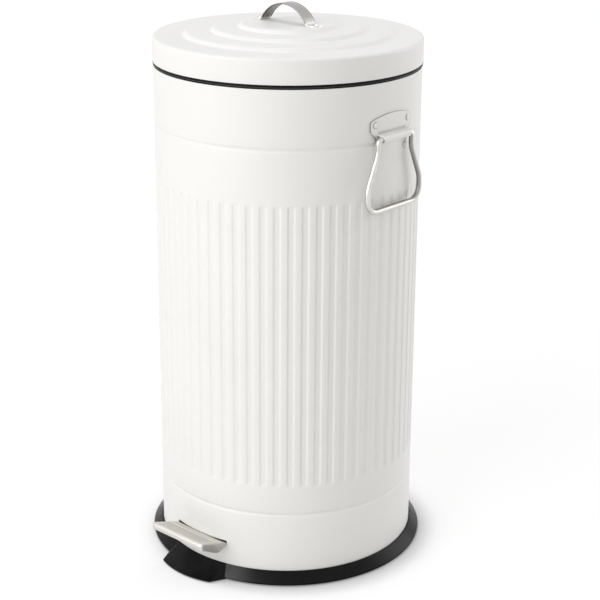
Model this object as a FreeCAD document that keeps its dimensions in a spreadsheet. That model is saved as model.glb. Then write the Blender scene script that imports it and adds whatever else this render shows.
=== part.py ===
"""Pedal bin with a fluted sheet body, built as a FreeCAD document and exported node by node.

Frame: millimetres, +Z up, floor at z = 0, axis of the round body on x = y = 0.
The pedal points to -Y, the lid hinge lies at +Y, the carrying handles at +X and -X.
"""
import FreeCAD
import Part
import Sketcher
import math
import os
import re
from FreeCAD import Placement, Rotation, Vector

doc = FreeCAD.newDocument("PedalBin")
sheet = doc.addObject("Spreadsheet::Sheet", "Sizes")

# Sizes that can be set by themselves, in mm, degrees or counts
SIZES = {
    # sheet body
    "body_radius": 150.0,
    "sheet_wall": 0.6,
    "shell_height": 565.0,
    "bead_width": 7.0,
    "bead_depth": 1.2,
    "lower_bead_height": 83.8,
    "upper_bead_drop": 64.7,
    "flute_count": 62,
    "flute_depth": 1.1,
    "flute_flank": 0.7,
    "flute_ramp": 2.4,
    "flute_start": 119.6,
    "flute_top_drop": 125.6,
    "flute_floor_share": 0.46,
    # base
    "foot_pad_proud": 1.0,
    "foot_pad_radius": 7.0,
    "foot_pad_depth": 1.5,
    "foot_pad_count": 4,
    "foot_pad_turn": 45.0,
    "ring_floor": 4.0,
    "ring_lip_height": 9.0,
    "ring_lip": 1.6,
    "ring_flare": 11.8,
    "ring_edge": 1.0,
    "ring_inner_reach": 12.0,
    "toe_reach": 31.5,
    "toe_corner_reach": 23.5,
    "toe_half_width": 38.5,
    "toe_root_half_width": 50.0,
    "base_plate_wall": 1.0,
    "base_screw_radius": 1.75,
    "base_screw_head_radius": 3.5,
    "base_screw_head": 1.8,
    "base_screw_inset": 6.5,
    "base_screw_count": 4,
    "base_screw_turn": 22.5,
    # body rim, seal and bucket seat
    "rim_cap": 2.3,
    "rim_proud": 0.3,
    "rim_round": 0.8,
    "rim_skirt": 14.0,
    "rim_wall": 1.8,
    "ledge_drop": 2.4,
    "ledge_wall": 2.2,
    "seal_gap": 0.3,
    "seal_flange": 2.1,
    "seal_reach": 1.6,
    "seal_upstand": 13.0,
    # lid
    "lid_proud": 0.9,
    "lid_height": 27.5,
    "lid_edge_round": 5.0,
    "step_rise": 4.1,
    "step_run": 6.0,
    "outer_step_radius": 115.4,
    "middle_step_radius": 84.1,
    "inner_step_radius": 54.2,
    "strap_wall": 1.2,
    "strap_width": 17.0,
    "strap_height": 20.8,
    "strap_foot_round": 3.5,
    "strap_foot_centre": 35.6,
    "strap_tab": 12.4,
    "strap_rivet_reach": 42.0,
    "arm_rivet_rise": 6.0,
    "arm_rivet_pitch": 10.0,
    # hinge and linkage
    "hinge_offset": 6.5,
    "hinge_pin_radius": 2.0,
    "hinge_boss_radius": 4.8,
    "hinge_half_width": 28.0,
    "hinge_fork_half_width": 9.0,
    "hinge_back": 31.0,
    "hinge_depth": 46.0,
    "hinge_chamfer": 5.0,
    "hinge_shoulder": 8.0,
    "hinge_screw_reach": 18.0,
    "hinge_screw_rise": 14.0,
    "hinge_screw_depth": 9.0,
    "hinge_arm_wall": 2.4,
    "hinge_arm_half_width": 8.4,
    "hinge_arm_height": 22.0,
    "lid_opening": 75.0,
    "crank_wall": 3.0,
    "crank_margin": 1.6,
    "crank_ear": 12.0,
    "rod_radius": 2.0,
    "rod_gap": 5.5,
    "rod_side": 7.0,
    "rod_end": 5.0,
    "rod_bend": 4.5,
    "rod_play": 0.55,
    "guide_wall": 2.6,
    "guide_height": 10.0,
    "guide_play": 0.3,
    # pedal
    "pedal_half_width": 39.5,
    "pedal_reach": 38.0,
    "pedal_tail": 5.0,
    "pedal_wall": 1.5,
    "pedal_front_height": 56.4,
    "pedal_wall_height": 42.9,
    "pedal_front_lip": 8.0,
    "pedal_round": 4.0,
    "pedal_gap": 1.2,
    "pedal_heel": 10.0,
    "pedal_heel_height": 33.2,
    "pedal_heel_round": 12.0,
    "pedal_tail_height": 38.6,
    "tread_groove": 1.6,
    "tread_groove_depth": 0.5,
    "tread_groove_pitch": 5.0,
    "tread_groove_count": 4,
    "slot_play": 1.6,
    "slot_drop": 13.0,
    "lever_half_width": 10.0,
    "lever_wall": 3.0,
    "lever_bend": 50.5,
    "lever_front_share": 0.6,
    "pivot_setback": 110.0,
    "pivot_drop": 4.4,
    "pivot_pin_radius": 3.0,
    "pivot_sleeve_radius": 5.0,
    "pivot_ear_wall": 2.0,
    "pivot_ear_play": 1.0,
    "pivot_ear_length": 18.0,
    "pivot_ear_rise": 6.0,
    "pivot_pin_end": 3.0,
    "pivot_head": 1.6,
    "lever_hook_drop": 2.0,
    # carrying handles
    "handle_drop": 59.0,
    "bracket_wall": 1.2,
    "bracket_half_width": 34.0,
    "bracket_crown": 25.5,
    "bracket_shoulder": 19.0,
    "bracket_waist": 8.0,
    "bracket_tab": 21.0,
    "bracket_tab_half_width": 26.5,
    "bracket_tab_round": 6.0,
    "barrel_half_length": 24.0,
    "bail_radius": 3.1,
    "bail_play": 0.35,
    "bail_stand_off": 1.1,
    "bail_neck_half_width": 28.6,
    "bail_half_width": 43.3,
    "bail_height": 78.0,
    "bail_corner": 15.0,
    "bail_neck_bend": 5.0,
    "bail_neck_drop": 10.5,
    "bail_flare_drop": 50.0,
    "bail_flare_bend": 28.0,
    "bail_gap": 6.0,
    "upper_rivet_reach": 27.0,
    "upper_rivet_rise": 15.0,
    "lower_rivet_reach": 22.0,
    "lower_rivet_drop": 14.0,
    # fasteners
    "rivet_radius": 2.0,
    "rivet_head_radius": 3.6,
    "rivet_head": 1.5,
    "rivet_tail": 0.9,
    "fastener_play": 0.1,
    # bucket
    "bucket_gap": 10.2,
    "bucket_flange_reach": 4.5,
    "bucket_flange": 2.0,
    "bucket_wall": 1.8,
    "bucket_floor": 2.2,
    "bucket_taper": 19.0,
    "bucket_floor_height": 50.0,
    "bucket_round": 5.0,
    "bucket_bail_drop": 14.0,
    "bucket_bail_radius": 2.0,
    "bucket_bail_inset": 17.0,
    "bucket_bail_bend": 5.0,
    "bucket_grip_radius": 5.0,
    "bucket_grip_half_angle": 19.0,
    "notch_half_width": 15.0,
    "notch_depth": 8.0,
    # fits
    "push_fit": 0.15,
    "free_fit": 0.5,
    "pin_fit": 0.05,
}

# Sizes that follow from those above
DERIVED = {
    "shell_foot": "foot_pad_proud + ring_floor",
    "shell_top": "shell_foot + shell_height",
    "shell_inside": "body_radius - sheet_wall",
    "rivet_seat": "shell_inside + pin_fit"
                  " - sqrt(shell_inside * shell_inside - rivet_head_radius * rivet_head_radius)",
    "bead_round": "(bead_width * bead_width / 4 + bead_depth * bead_depth) / (2 * bead_depth)",
    "upper_bead_height": "shell_top - upper_bead_drop",
    "flute_end": "shell_top - flute_top_drop",
    "flute_pitch": "2 * pi * body_radius / flute_count",
    "flute_floor_half": "flute_pitch * flute_floor_share / 2",
    "flute_flank_share": "flute_flank / flute_depth",
    "flute_ramp_share": "flute_ramp / flute_depth",
    "flute_back_side": "sheet_wall * (sqrt(1 + flute_flank_share * flute_flank_share) - flute_flank_share)",
    "flute_back_end": "sheet_wall * (sqrt(1 + flute_ramp_share * flute_ramp_share) - flute_ramp_share)",
    "flute_floor_radius": "body_radius - flute_depth",
    "flute_over_radius": "body_radius + flute_depth",
    "flute_back_radius": "flute_floor_radius - sheet_wall",
    "flute_root_radius": "body_radius - sheet_wall / 2",
    "ring_bore": "body_radius + push_fit",
    "ring_inside": "body_radius - ring_inner_reach",
    "ring_top": "shell_foot + ring_lip_height",
    "ring_radius": "body_radius + ring_flare",
    "plate_top": "shell_foot + base_plate_wall",
    "bucket_radius": "body_radius - bucket_gap",
    "bucket_flange_radius": "bucket_radius + bucket_flange_reach",
    "rim_top": "shell_top + rim_cap",
    "ledge_top": "shell_top - ledge_drop",
    "rim_radius": "body_radius + rim_proud",
    "rim_skirt_radius": "shell_inside - push_fit",
    "seat_radius": "bucket_flange_radius + free_fit",
    "ledge_inside": "bucket_radius + free_fit",
    "seal_foot": "rim_top + seal_gap",
    "seal_inside": "body_radius - seal_reach",
    "skirt_foot": "seal_foot + seal_flange",
    "lid_radius": "body_radius + lid_proud",
    "lid_inside": "lid_radius - sheet_wall",
    "lid_top": "skirt_foot + lid_height",
    "upstand_radius": "lid_inside - push_fit",
    "step_round": "(step_run * step_run + step_rise * step_rise) / (4 * step_rise)",
    "step_tilt_share": "1 + sheet_wall / step_round",
    "dome_top": "lid_top + 3 * step_rise",
    "strap_rise": "strap_height - strap_foot_round",
    "strap_round": "(strap_foot_centre * strap_foot_centre + strap_rise * strap_rise"
                   " - strap_foot_round * strap_foot_round) / (2 * strap_height)",
    "strap_side_share": "strap_foot_centre / (strap_round + strap_foot_round)",
    "strap_up_share": "(strap_foot_round - strap_height + strap_round) / (strap_round + strap_foot_round)",
    "strap_mid": "dome_top + strap_wall / 2",
    "strap_centre": "strap_mid + strap_height - strap_round",
    "hinge_y": "body_radius + hinge_offset",
    "hinge_z": "rim_top",
    "rod_y": "body_radius - rod_gap",
    "crank_reach": "hinge_y - rod_y",
    "crank_far": "crank_reach / cos(lid_opening / 2 * 1 deg)",
    "rod_travel": "2 * crank_reach * tan(lid_opening / 2 * 1 deg)",
    "crank_slot_radius": "rod_radius + rod_play",
    "crank_half": "crank_slot_radius + crank_margin",
    "rod_top": "hinge_z - rod_travel / 2",
    "guide_low": "(lower_bead_height + flute_start) / 2",
    "guide_high": "(flute_end + upper_bead_height) / 2",
    "guide_bore": "rod_radius + guide_play",
    "guide_half": "guide_bore + guide_wall",
    "pedal_front": "body_radius + pedal_reach",
    "pedal_slope_share": "(pedal_front_height - pedal_wall_height) / pedal_reach",
    "pedal_drop": "pedal_wall * sqrt(1 + pedal_slope_share * pedal_slope_share)",
    "lever_drop": "lever_wall * sqrt(1 + pedal_slope_share * pedal_slope_share)",
    "lever_top": "pedal_wall_height - pedal_slope_share * lever_bend - pedal_drop",
    "lever_foot": "lever_top - lever_wall",
    "lever_front": "pedal_reach * lever_front_share",
    "lever_front_top": "pedal_wall_height + pedal_slope_share * lever_front - pedal_drop",
    "pivot_y": "pivot_setback - body_radius",
    "ear_half": "lever_half_width + pivot_ear_play + pivot_ear_wall",
    "pivot_z": "lever_foot - pivot_drop",
    "hook_z": "pivot_z - lever_hook_drop",
    "slot_half_width": "lever_half_width + slot_play",
    "slot_top": "pedal_wall_height - pedal_drop + slot_play",
    "slot_foot": "pedal_wall_height - pedal_drop - lever_drop - slot_drop",
    "handle_z": "shell_top - handle_drop",
    "bracket_crown_rise": "bracket_crown - bracket_shoulder",
    "bracket_crown_round": "(bracket_half_width * bracket_half_width"
                           " + bracket_crown_rise * bracket_crown_rise) / (2 * bracket_crown_rise)",
    "bail_x": "body_radius + bail_stand_off + bail_radius",
    "barrel_bore": "bail_radius + bail_play",
    "barrel_radius": "barrel_bore + bracket_wall",
    "bucket_bail_z": "ledge_top - bucket_bail_drop",
    "bucket_bail_arc": "bucket_radius - bucket_bail_inset",
}

for row, (alias, number) in enumerate(SIZES.items(), start=1):
    sheet.set("A%d" % row, alias)
    sheet.set("B%d" % row, repr(number))
    sheet.setAlias("B%d" % row, alias)
for row, (alias, formula) in enumerate(DERIVED.items(), start=1):
    sheet.set("D%d" % row, alias)
    sheet.set("E%d" % row, "=" + formula)
    sheet.setAlias("E%d" % row, alias)
doc.recompute()
ALIASES = set(SIZES) | set(DERIVED)


def bound(text):
    """An expression with every size name pointed at the sheet."""
    return re.sub(r"[a-z_]\w*",
                  lambda hit: "Sizes." + hit.group() if hit.group() in ALIASES else hit.group(), text)


def size(text):
    """The present value of an expression of sizes."""
    value = sheet.evalExpression(bound(text))
    return float(getattr(value, "Value", value))


def bind(item, prop, text):
    """Binds one property of an object to an expression of sizes."""
    item.setExpression(prop, bound(text))


def named(kind, label):
    """A new document object with a label of its own."""
    item = doc.addObject(kind, label.replace(" ", "_"))
    item.Label = label
    return item


def block(label, spans):
    """A box between pairs of expressions for x, y and z."""
    item = named("Part::Box", label)
    for prop, letter, (low, high) in zip(("Length", "Width", "Height"), "xyz", spans):
        bind(item, prop, "(%s) - (%s)" % (high, low))
        bind(item, "Placement.Base." + letter, low)
    return item


def rod(label, way, centre, radius, span):
    """A cylinder along x, y or z; centre gives the other two coordinates in order."""
    item = named("Part::Cylinder", label)
    turns = {"x": Rotation(Vector(0, 1, 0), 90), "y": Rotation(Vector(1, 0, 0), -90), "z": Rotation()}
    item.Placement = Placement(Vector(), turns[way])
    others = [letter for letter in "xyz" if letter != way]
    bind(item, "Radius", radius)
    bind(item, "Height", "(%s) - (%s)" % (span[1], span[0]))
    bind(item, "Placement.Base." + way, span[0])
    for letter, text in zip(others, centre):
        bind(item, "Placement.Base." + letter, text)
    return item


def fuse(label, items):
    """One solid from several overlapping ones."""
    item = named("Part::MultiFuse", label)
    item.Shapes = items
    item.Refine = True
    return item


def cut(label, base, tools):
    """The base less one or more tools."""
    item = named("Part::Cut", label)
    item.Base = base
    item.Tool = tools[0] if len(tools) == 1 else fuse(label + " tools", tools)
    item.Refine = True
    return item


def common(label, items):
    """What several solids share."""
    item = named("Part::MultiCommon", label)
    item.Shapes = items
    return item


def shaped(label, shape):
    """A piece whose shape comes straight from Part's own functions."""
    item = named("Part::Feature", label)
    item.Shape = shape
    item.Placement = Placement()
    return item


def arc_centre(start, end, radius, side):
    """Centre of the short arc from start to end; side +1 turns left, -1 turns right."""
    chord = end - start
    rise = math.sqrt(max(radius * radius - chord.Length * chord.Length / 4, 0))
    left = Vector(-chord.y, chord.x, 0) / chord.Length
    return start + chord / 2 + left * (rise * side)


def outline(body, label, plane, corners):
    """A closed sketch; each corner is (x, y) or (x, y, radius, side) when an arc leads to the next."""
    sketch = body.newObject("Sketcher::SketchObject", label)
    origin = [item for item in body.Origin.OriginFeatures if item.Role == plane][0]
    sketch.AttachmentSupport = (origin, [""])
    sketch.MapMode = "FlatFace"
    spots = [Vector(size(corner[0]), size(corner[1]), 0) for corner in corners]
    starts = []
    ends = []
    for index, corner in enumerate(corners):
        here = spots[index]
        there = spots[(index + 1) % len(spots)]
        if len(corner) == 2:
            sketch.addGeometry(Part.LineSegment(here, there), False)
            starts.append(1)
            ends.append(2)
            continue
        radius = size(corner[2])
        centre = arc_centre(here, there, radius, corner[3])
        first, last = (here, there) if corner[3] > 0 else (there, here)
        angles = [math.atan2(spot.y - centre.y, spot.x - centre.x) for spot in (first, last)]
        circle = Part.Circle(centre, Vector(0, 0, 1), radius)
        sketch.addGeometry(Part.ArcOfCircle(circle, angles[0], angles[1]), False)
        starts.append(1 if corner[3] > 0 else 2)
        ends.append(2 if corner[3] > 0 else 1)
    for index in range(len(corners)):
        after = (index + 1) % len(corners)
        sketch.addConstraint(Sketcher.Constraint("Coincident", index, ends[index], after, starts[after]))
    for index, corner in enumerate(corners):
        for way, spot, text in (("DistanceX", spots[index].x, corner[0]),
                                ("DistanceY", spots[index].y, corner[1])):
            place = sketch.addConstraint(Sketcher.Constraint(way, -1, 1, index, starts[index], spot))
            bind(sketch, "Constraints[%d]" % place, text)
        if len(corner) == 4:
            place = sketch.addConstraint(Sketcher.Constraint("Radius", index, size(corner[2])))
            bind(sketch, "Constraints[%d]" % place, corner[2])
    return sketch


def turned(label, corners):
    """A body turned about the z axis from an outline of (radius, height) corners."""
    body = named("PartDesign::Body", label)
    sketch = outline(body, label.replace(" ", "_") + "_profile", "XZ_Plane", corners)
    turn = body.newObject("PartDesign::Revolution", label.replace(" ", "_") + "_turn")
    turn.Profile = sketch
    turn.ReferenceAxis = (sketch, ["V_Axis"])
    turn.Angle = 360
    body.Tip = turn
    return body


def drawn(label, plane, corners, length):
    """A body drawn out evenly to both sides of a plane through the origin."""
    body = named("PartDesign::Body", label)
    sketch = outline(body, label.replace(" ", "_") + "_profile", plane, corners)
    pad = body.newObject("PartDesign::Pad", label.replace(" ", "_") + "_pad")
    pad.Profile = sketch
    pad.Midplane = True
    bind(pad, "Length", length)
    body.Tip = pad
    return body


def rounded_path(spots, radii):
    """A wire of straight runs joined by tangent arcs at the inner corners."""
    edges = []
    here = spots[0]
    for before, corner, after, radius in zip(spots, spots[1:], spots[2:], radii):
        back = (before - corner).normalize()
        ahead = (after - corner).normalize()
        half = back.getAngle(ahead) / 2
        reach = radius / math.tan(half)
        enter = corner + back * reach
        leave = corner + ahead * reach
        middle = corner + (back + ahead).normalize() * (radius / math.sin(half) - radius)
        edges.append(Part.makeLine(here, enter))
        edges.append(Part.Arc(enter, middle, leave).toShape())
        here = leave
    edges.append(Part.makeLine(here, spots[-1]))
    return Part.Wire(edges)


def wire_solid(path, radius):
    """A round wire of one radius along a path."""
    first = path.OrderedEdges[0]
    start = first.valueAt(first.FirstParameter)
    circle = Part.Wire([Part.makeCircle(radius, start, first.tangentAt(first.FirstParameter))])
    return path.makePipeShell([circle], True, False)


def round_edge(body, label, spot, radius):
    """Rounds the edge of a body whose middle is nearest to a spot."""
    doc.recompute()
    edges = body.Shape.Edges
    nearest = min(range(len(edges)), key=lambda index: (edges[index].CenterOfMass - spot).Length)
    last = body.Tip
    fillet = body.newObject("PartDesign::Fillet", label)
    fillet.Base = (last, ["Edge%d" % (nearest + 1)])
    bind(fillet, "Radius", radius)
    body.Tip = fillet


def fastener(head_radius, head, shank_radius, grip, tail_radius, tail):
    """A fastener on the z axis: domed head above z = 0, shank down through the grip, tail below it."""
    brim = head / 3
    crown = head - brim
    ball = (head_radius * head_radius + crown * crown) / (2 * crown)
    turn = math.asin(head_radius / ball) / 2
    middle = Vector(ball * math.sin(turn), 0, head - ball + ball * math.cos(turn))
    dome = Part.Arc(Vector(head_radius, 0, brim), middle, Vector(0, 0, head)).toShape()
    chain = [Vector(0, 0, head), Vector(0, 0, -grip - tail), Vector(tail_radius, 0, -grip - tail),
             Vector(tail_radius, 0, -grip), Vector(shank_radius, 0, -grip), Vector(shank_radius, 0, 0),
             Vector(head_radius, 0, 0), Vector(head_radius, 0, brim)]
    edges = [Part.makeLine(one, two) for one, two in zip(chain, chain[1:]) if one != two]
    face = Part.Face(Part.Wire(edges + [dome]))
    return face.revolve(Vector(), Vector(0, 0, 1), 360)


def pointed(shape, spot, way):
    """A copy of a shape with its z axis turned to a direction and its origin moved to a spot."""
    moved = shape.copy()
    moved.Placement = Placement(spot, Rotation(Vector(0, 0, 1), way))
    return moved


def rivet_set(label, places, grip):
    """Domed rivets as one group of separate solids; places are pairs of spot and outward direction."""
    body = fastener(size("rivet_head_radius"), size("rivet_head"), size("rivet_radius"), grip,
                    size("rivet_head_radius"), size("rivet_tail"))
    return shaped(label, Part.makeCompound([pointed(body, spot, way) for spot, way in places]))


def drill_set(label, places, reach):
    """Drills for a set of fasteners, reaching both ways from each spot."""
    radius = size("rivet_radius + fastener_play")
    drills = [Part.makeCylinder(radius, 2 * reach, spot - way * reach, way) for spot, way in places]
    return shaped(label, Part.makeCompound(drills))


nodes = []


def node(item, label):
    """Lists a finished piece for export under its node name."""
    item.Label = label
    nodes.append(item)
    return item


def mirrored(text):
    return "-(%s)" % text


# Sheet body: a turned sheet with two pressed beads, pressed flutes, a pedal slot and a rear slot
def bead_corners(radius, height, side):
    """The two corners of a bead on the way up (side -1) or down (side +1) the wall."""
    low = (radius, height + " - bead_width / 2")
    high = (radius, height + " + bead_width / 2")
    return [low + ("bead_round", side), high] if side < 0 else [high + ("bead_round", side), low]


wall_corners = [("body_radius", "shell_foot")]
wall_corners += bead_corners("body_radius", "lower_bead_height", -1)
wall_corners += bead_corners("body_radius", "upper_bead_height", -1)
wall_corners += [("body_radius", "shell_top"), ("shell_inside", "shell_top")]
wall_corners += bead_corners("shell_inside", "upper_bead_height", 1)
wall_corners += bead_corners("shell_inside", "lower_bead_height", 1)
wall_corners += [("shell_inside", "shell_foot")]
shell = turned("shell sheet", wall_corners)


def flute_wedge(kind, label, spans):
    """One flute wedge, narrow at its first radius, and its pattern round the axis."""
    wedge = shell.newObject("PartDesign::" + kind, label)
    wedge.Placement = Placement(Vector(), Rotation(Vector(0, 0, 1), 1))
    bind(wedge, "Placement.Rotation.Angle", "180 deg / flute_count")
    for prop, text in spans.items():
        bind(wedge, prop, text)
    pattern = shell.newObject("PartDesign::PolarPattern", label + "_pattern")
    pattern.Originals = [wedge]
    pattern.Axis = (shell.Group[0], ["V_Axis"])
    pattern.Angle = 360
    bind(pattern, "Occurrences", "flute_count")
    shell.Tip = pattern


back_half = "flute_floor_half + flute_back_side"
back_root = "flute_flank_share * (flute_root_radius - flute_back_radius)"
back_ramp = "flute_ramp_share * (flute_root_radius - flute_back_radius)"
back_low = "flute_start + flute_ramp - flute_back_end"
back_high = "flute_end - flute_ramp + flute_back_end"
flute_wedge("AdditiveWedge", "flute_back", {
    "Ymin": "flute_back_radius", "Ymax": "flute_root_radius",
    "Xmin": mirrored(back_half), "Xmax": back_half, "Zmin": back_low, "Zmax": back_high,
    "X2min": mirrored(back_half + " + " + back_root), "X2max": back_half + " + " + back_root,
    "Z2min": back_low + " - " + back_ramp, "Z2max": back_high + " + " + back_ramp})
flute_wedge("SubtractiveWedge", "flute_face", {
    "Ymin": "flute_floor_radius", "Ymax": "flute_over_radius",
    "Xmin": "-flute_floor_half", "Xmax": "flute_floor_half",
    "Zmin": "flute_start + flute_ramp", "Zmax": "flute_end - flute_ramp",
    "X2min": "-flute_floor_half - 2 * flute_flank", "X2max": "flute_floor_half + 2 * flute_flank",
    "Z2min": "flute_start - flute_ramp", "Z2max": "flute_end + flute_ramp"})


def round_places(radius, height, sides, centre):
    """Spots and outward directions on the round wall, sideways distances from a centre direction."""
    places = []
    for side in sides:
        angle = math.radians(centre) + side / radius
        way = Vector(math.cos(angle), math.sin(angle), 0)
        places.append((way * radius + Vector(0, 0, height), way))
    return places


def handle_places(centre):
    """Where the four rivets of one carrying handle sit on the outside of its bracket."""
    radius = size("body_radius + bracket_wall")
    upper = [size("-upper_rivet_reach"), size("upper_rivet_reach")]
    lower = [size("-lower_rivet_reach"), size("lower_rivet_reach")]
    return (round_places(radius, size("handle_z + upper_rivet_rise"), upper, centre)
            + round_places(radius, size("handle_z - lower_rivet_drop"), lower, centre))


right_places = handle_places(0)
left_places = handle_places(180)
wall_reach = size("3 * bracket_wall")
handle_drills = drill_set("handle drills", right_places + left_places, wall_reach)
hinge_sides = [size("-hinge_screw_reach"), size("hinge_screw_reach")]
hinge_places = round_places(size("shell_inside - rivet_seat"),
                            size("shell_top - hinge_depth + hinge_screw_rise"), hinge_sides, 90)
hinge_drills = drill_set("hinge drills", hinge_places, size("hinge_screw_depth + free_fit"))
pedal_slot = block("pedal slot", [("-slot_half_width", "slot_half_width"), ("-pedal_front", "pivot_y"),
                                  ("slot_foot", "slot_top")])
crank_slot = block("crank slot", [("-crank_wall / 2 - free_fit", "crank_wall / 2 + free_fit"),
                                  ("rod_y", "hinge_y"), ("rod_top - crank_half - free_fit", "rim_top")])
node(cut("body shell", shell, [pedal_slot, crank_slot, handle_drills, hinge_drills]), "body_shell")

# Base: moulded ring with a toe against tipping, floor plate, screws and foot pads
ring = turned("ring section", [
    ("ring_inside", "foot_pad_proud"), ("ring_radius - ring_edge", "foot_pad_proud", "ring_edge", 1),
    ("ring_radius", "foot_pad_proud + ring_edge"), ("ring_bore + ring_lip", "ring_top"),
    ("ring_bore", "ring_top"), ("ring_bore", "shell_foot"), ("ring_inside", "shell_foot")])


def toe_wire(height, root_half, root, corner_half, corner, reach):
    """A toe outline at one height: straight root, straight sides, bowed front."""
    left_root = Vector(-root_half, -root, height)
    right_root = Vector(root_half, -root, height)
    left = Vector(-corner_half, -corner, height)
    right = Vector(corner_half, -corner, height)
    front = Part.Arc(left, Vector(0, -reach, height), right).toShape()
    return Part.Wire([Part.makeLine(left_root, left), front, Part.makeLine(right, right_root),
                      Part.makeLine(right_root, left_root)])


lip_radius = size("ring_bore + ring_lip")
toe_root = size("body_radius")
toe_top_half = size("toe_half_width")
toe_top_corner = math.sqrt(lip_radius * lip_radius - toe_top_half * toe_top_half)
toe_low = toe_wire(size("foot_pad_proud"), size("toe_root_half_width"), toe_root, size("toe_half_width"),
                   size("body_radius + toe_corner_reach"), size("body_radius + toe_reach"))
toe_high = toe_wire(size("ring_top"), size("toe_half_width + ring_lip"), toe_top_corner - size("ring_lip"),
                    toe_top_half, toe_top_corner, lip_radius)
toe_block = shaped("toe block", Part.makeLoft([toe_low, toe_high], True, True))
toe = cut("toe", toe_block, [
    rod("toe bore", "z", ("0", "0"), "ring_bore", ("shell_foot", "ring_top + ring_lip"))])


def spread(name, radius, height):
    """Spots at equal angles round the axis, by the named piece's count and first angle."""
    count = round(size(name + "_count"))
    angles = [math.radians(size(name + "_turn") + 360 * turn / count) for turn in range(count)]
    return [Vector(radius * math.cos(angle), radius * math.sin(angle), height) for angle in angles]


pad_spots = spread("foot_pad", size("body_radius"), 0)
screw_spots = spread("base_screw", size("ring_inside + base_screw_inset"), size("foot_pad_proud"))
up = Vector(0, 0, 1)
pad_height = size("foot_pad_proud + foot_pad_depth")
pad_pockets = [Part.makeCylinder(size("foot_pad_radius + push_fit"), pad_height, spot, up)
               for spot in pad_spots]
screw_seats = [Part.makeCylinder(size("base_screw_head_radius + free_fit"), size("base_screw_head"), spot, up)
               for spot in screw_spots]
screw_shanks = [Part.makeCylinder(size("base_screw_radius + fastener_play"), size("plate_top"), spot, up)
                for spot in screw_spots]
pockets = shaped("pad pockets", Part.makeCompound(pad_pockets + screw_seats))
shanks = shaped("base screw drills", Part.makeCompound(screw_shanks))
node(cut("base ring", fuse("ring and toe", [ring, toe]), [pockets, shanks]), "base_ring")
pads = [Part.makeCylinder(size("foot_pad_radius"), pad_height, spot, up) for spot in pad_spots]
node(shaped("foot pads", Part.makeCompound(pads)), "foot_pads")
plate = rod("floor plate", "z", ("0", "0"), "shell_inside - push_fit", ("shell_foot", "plate_top"))
node(cut("base plate", plate, [shanks]), "base_plate")
base_screw = fastener(size("base_screw_head_radius"), size("base_screw_head"), size("base_screw_radius"),
                      size("plate_top - foot_pad_proud - base_screw_head"), size("base_screw_radius"),
                      size("base_plate_wall"))
screw_heads = [pointed(base_screw, spot + up * size("base_screw_head"), -up) for spot in screw_spots]
node(shaped("base screws", Part.makeCompound(screw_heads)), "base_screws")

# Rim of the body with the ledge that carries the bucket
rim = turned("rim section", [
    ("rim_radius", "shell_top"), ("rim_radius", "rim_top - rim_round", "rim_round", 1),
    ("rim_radius - rim_round", "rim_top"), ("seat_radius", "rim_top"), ("seat_radius", "ledge_top"),
    ("ledge_inside", "ledge_top"), ("ledge_inside", "ledge_top - ledge_wall"),
    ("rim_skirt_radius - rim_wall", "ledge_top - ledge_wall"),
    ("rim_skirt_radius - rim_wall", "shell_top - rim_skirt"),
    ("rim_skirt_radius", "shell_top - rim_skirt"), ("rim_skirt_radius", "shell_top")])
rim_notch = block("rim notch", [("-notch_half_width", "notch_half_width"), ("bucket_bail_arc", "hinge_y"),
                                ("shell_top - 2 * rim_skirt", "lid_top")])
node(cut("body rim", rim, [rim_notch]), "body_rim")

# Hinge housing, pin and screws
housing = drawn("hinge block", "YZ_Plane", [
    ("rod_y", "shell_top - hinge_depth"),
    ("body_radius + hinge_back - hinge_chamfer", "shell_top - hinge_depth"),
    ("body_radius + hinge_back", "shell_top - hinge_depth + hinge_chamfer"),
    ("body_radius + hinge_back", "hinge_z - hinge_shoulder"), ("hinge_y + hinge_boss_radius", "hinge_z"),
    ("hinge_y - hinge_boss_radius", "hinge_z"),
    ("hinge_y - hinge_boss_radius", "shell_top - hinge_boss_radius"),
    ("rod_y", "shell_top - hinge_boss_radius")], "2 * hinge_half_width")
boss = rod("hinge boss", "x", ("hinge_y", "hinge_z"), "hinge_boss_radius",
           ("-hinge_half_width", "hinge_half_width"))
wall_bore = rod("wall bore", "z", ("0", "0"), "body_radius + push_fit", ("shell_foot", "rim_top"))
fork = block("hinge fork", [("-hinge_fork_half_width", "hinge_fork_half_width"),
                            ("rod_y", "hinge_y + hinge_boss_radius + free_fit"),
                            ("rod_top - crank_half - free_fit", "lid_top")])
pin_bore = rod("hinge pin bore", "x", ("hinge_y", "hinge_z"), "hinge_pin_radius + pin_fit",
               ("-2 * hinge_half_width", "2 * hinge_half_width"))
hinge_body = fuse("hinge block and boss", [housing, boss])
node(cut("hinge housing", hinge_body, [wall_bore, fork, pin_bore, hinge_drills]), "hinge_housing")
node(rod("hinge pin", "x", ("hinge_y", "hinge_z"), "hinge_pin_radius",
         ("-hinge_half_width", "hinge_half_width")), "hinge_pin")
hinge_screw = fastener(size("rivet_head_radius"), size("rivet_head"), size("rivet_radius"),
                       size("hinge_screw_depth - rivet_tail"), size("rivet_radius"), size("rivet_tail"))
hinge_screw_set = [pointed(hinge_screw, spot, -way) for spot, way in hinge_places]
node(shaped("hinge screws", Part.makeCompound(hinge_screw_set)), "hinge_screws")

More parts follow.
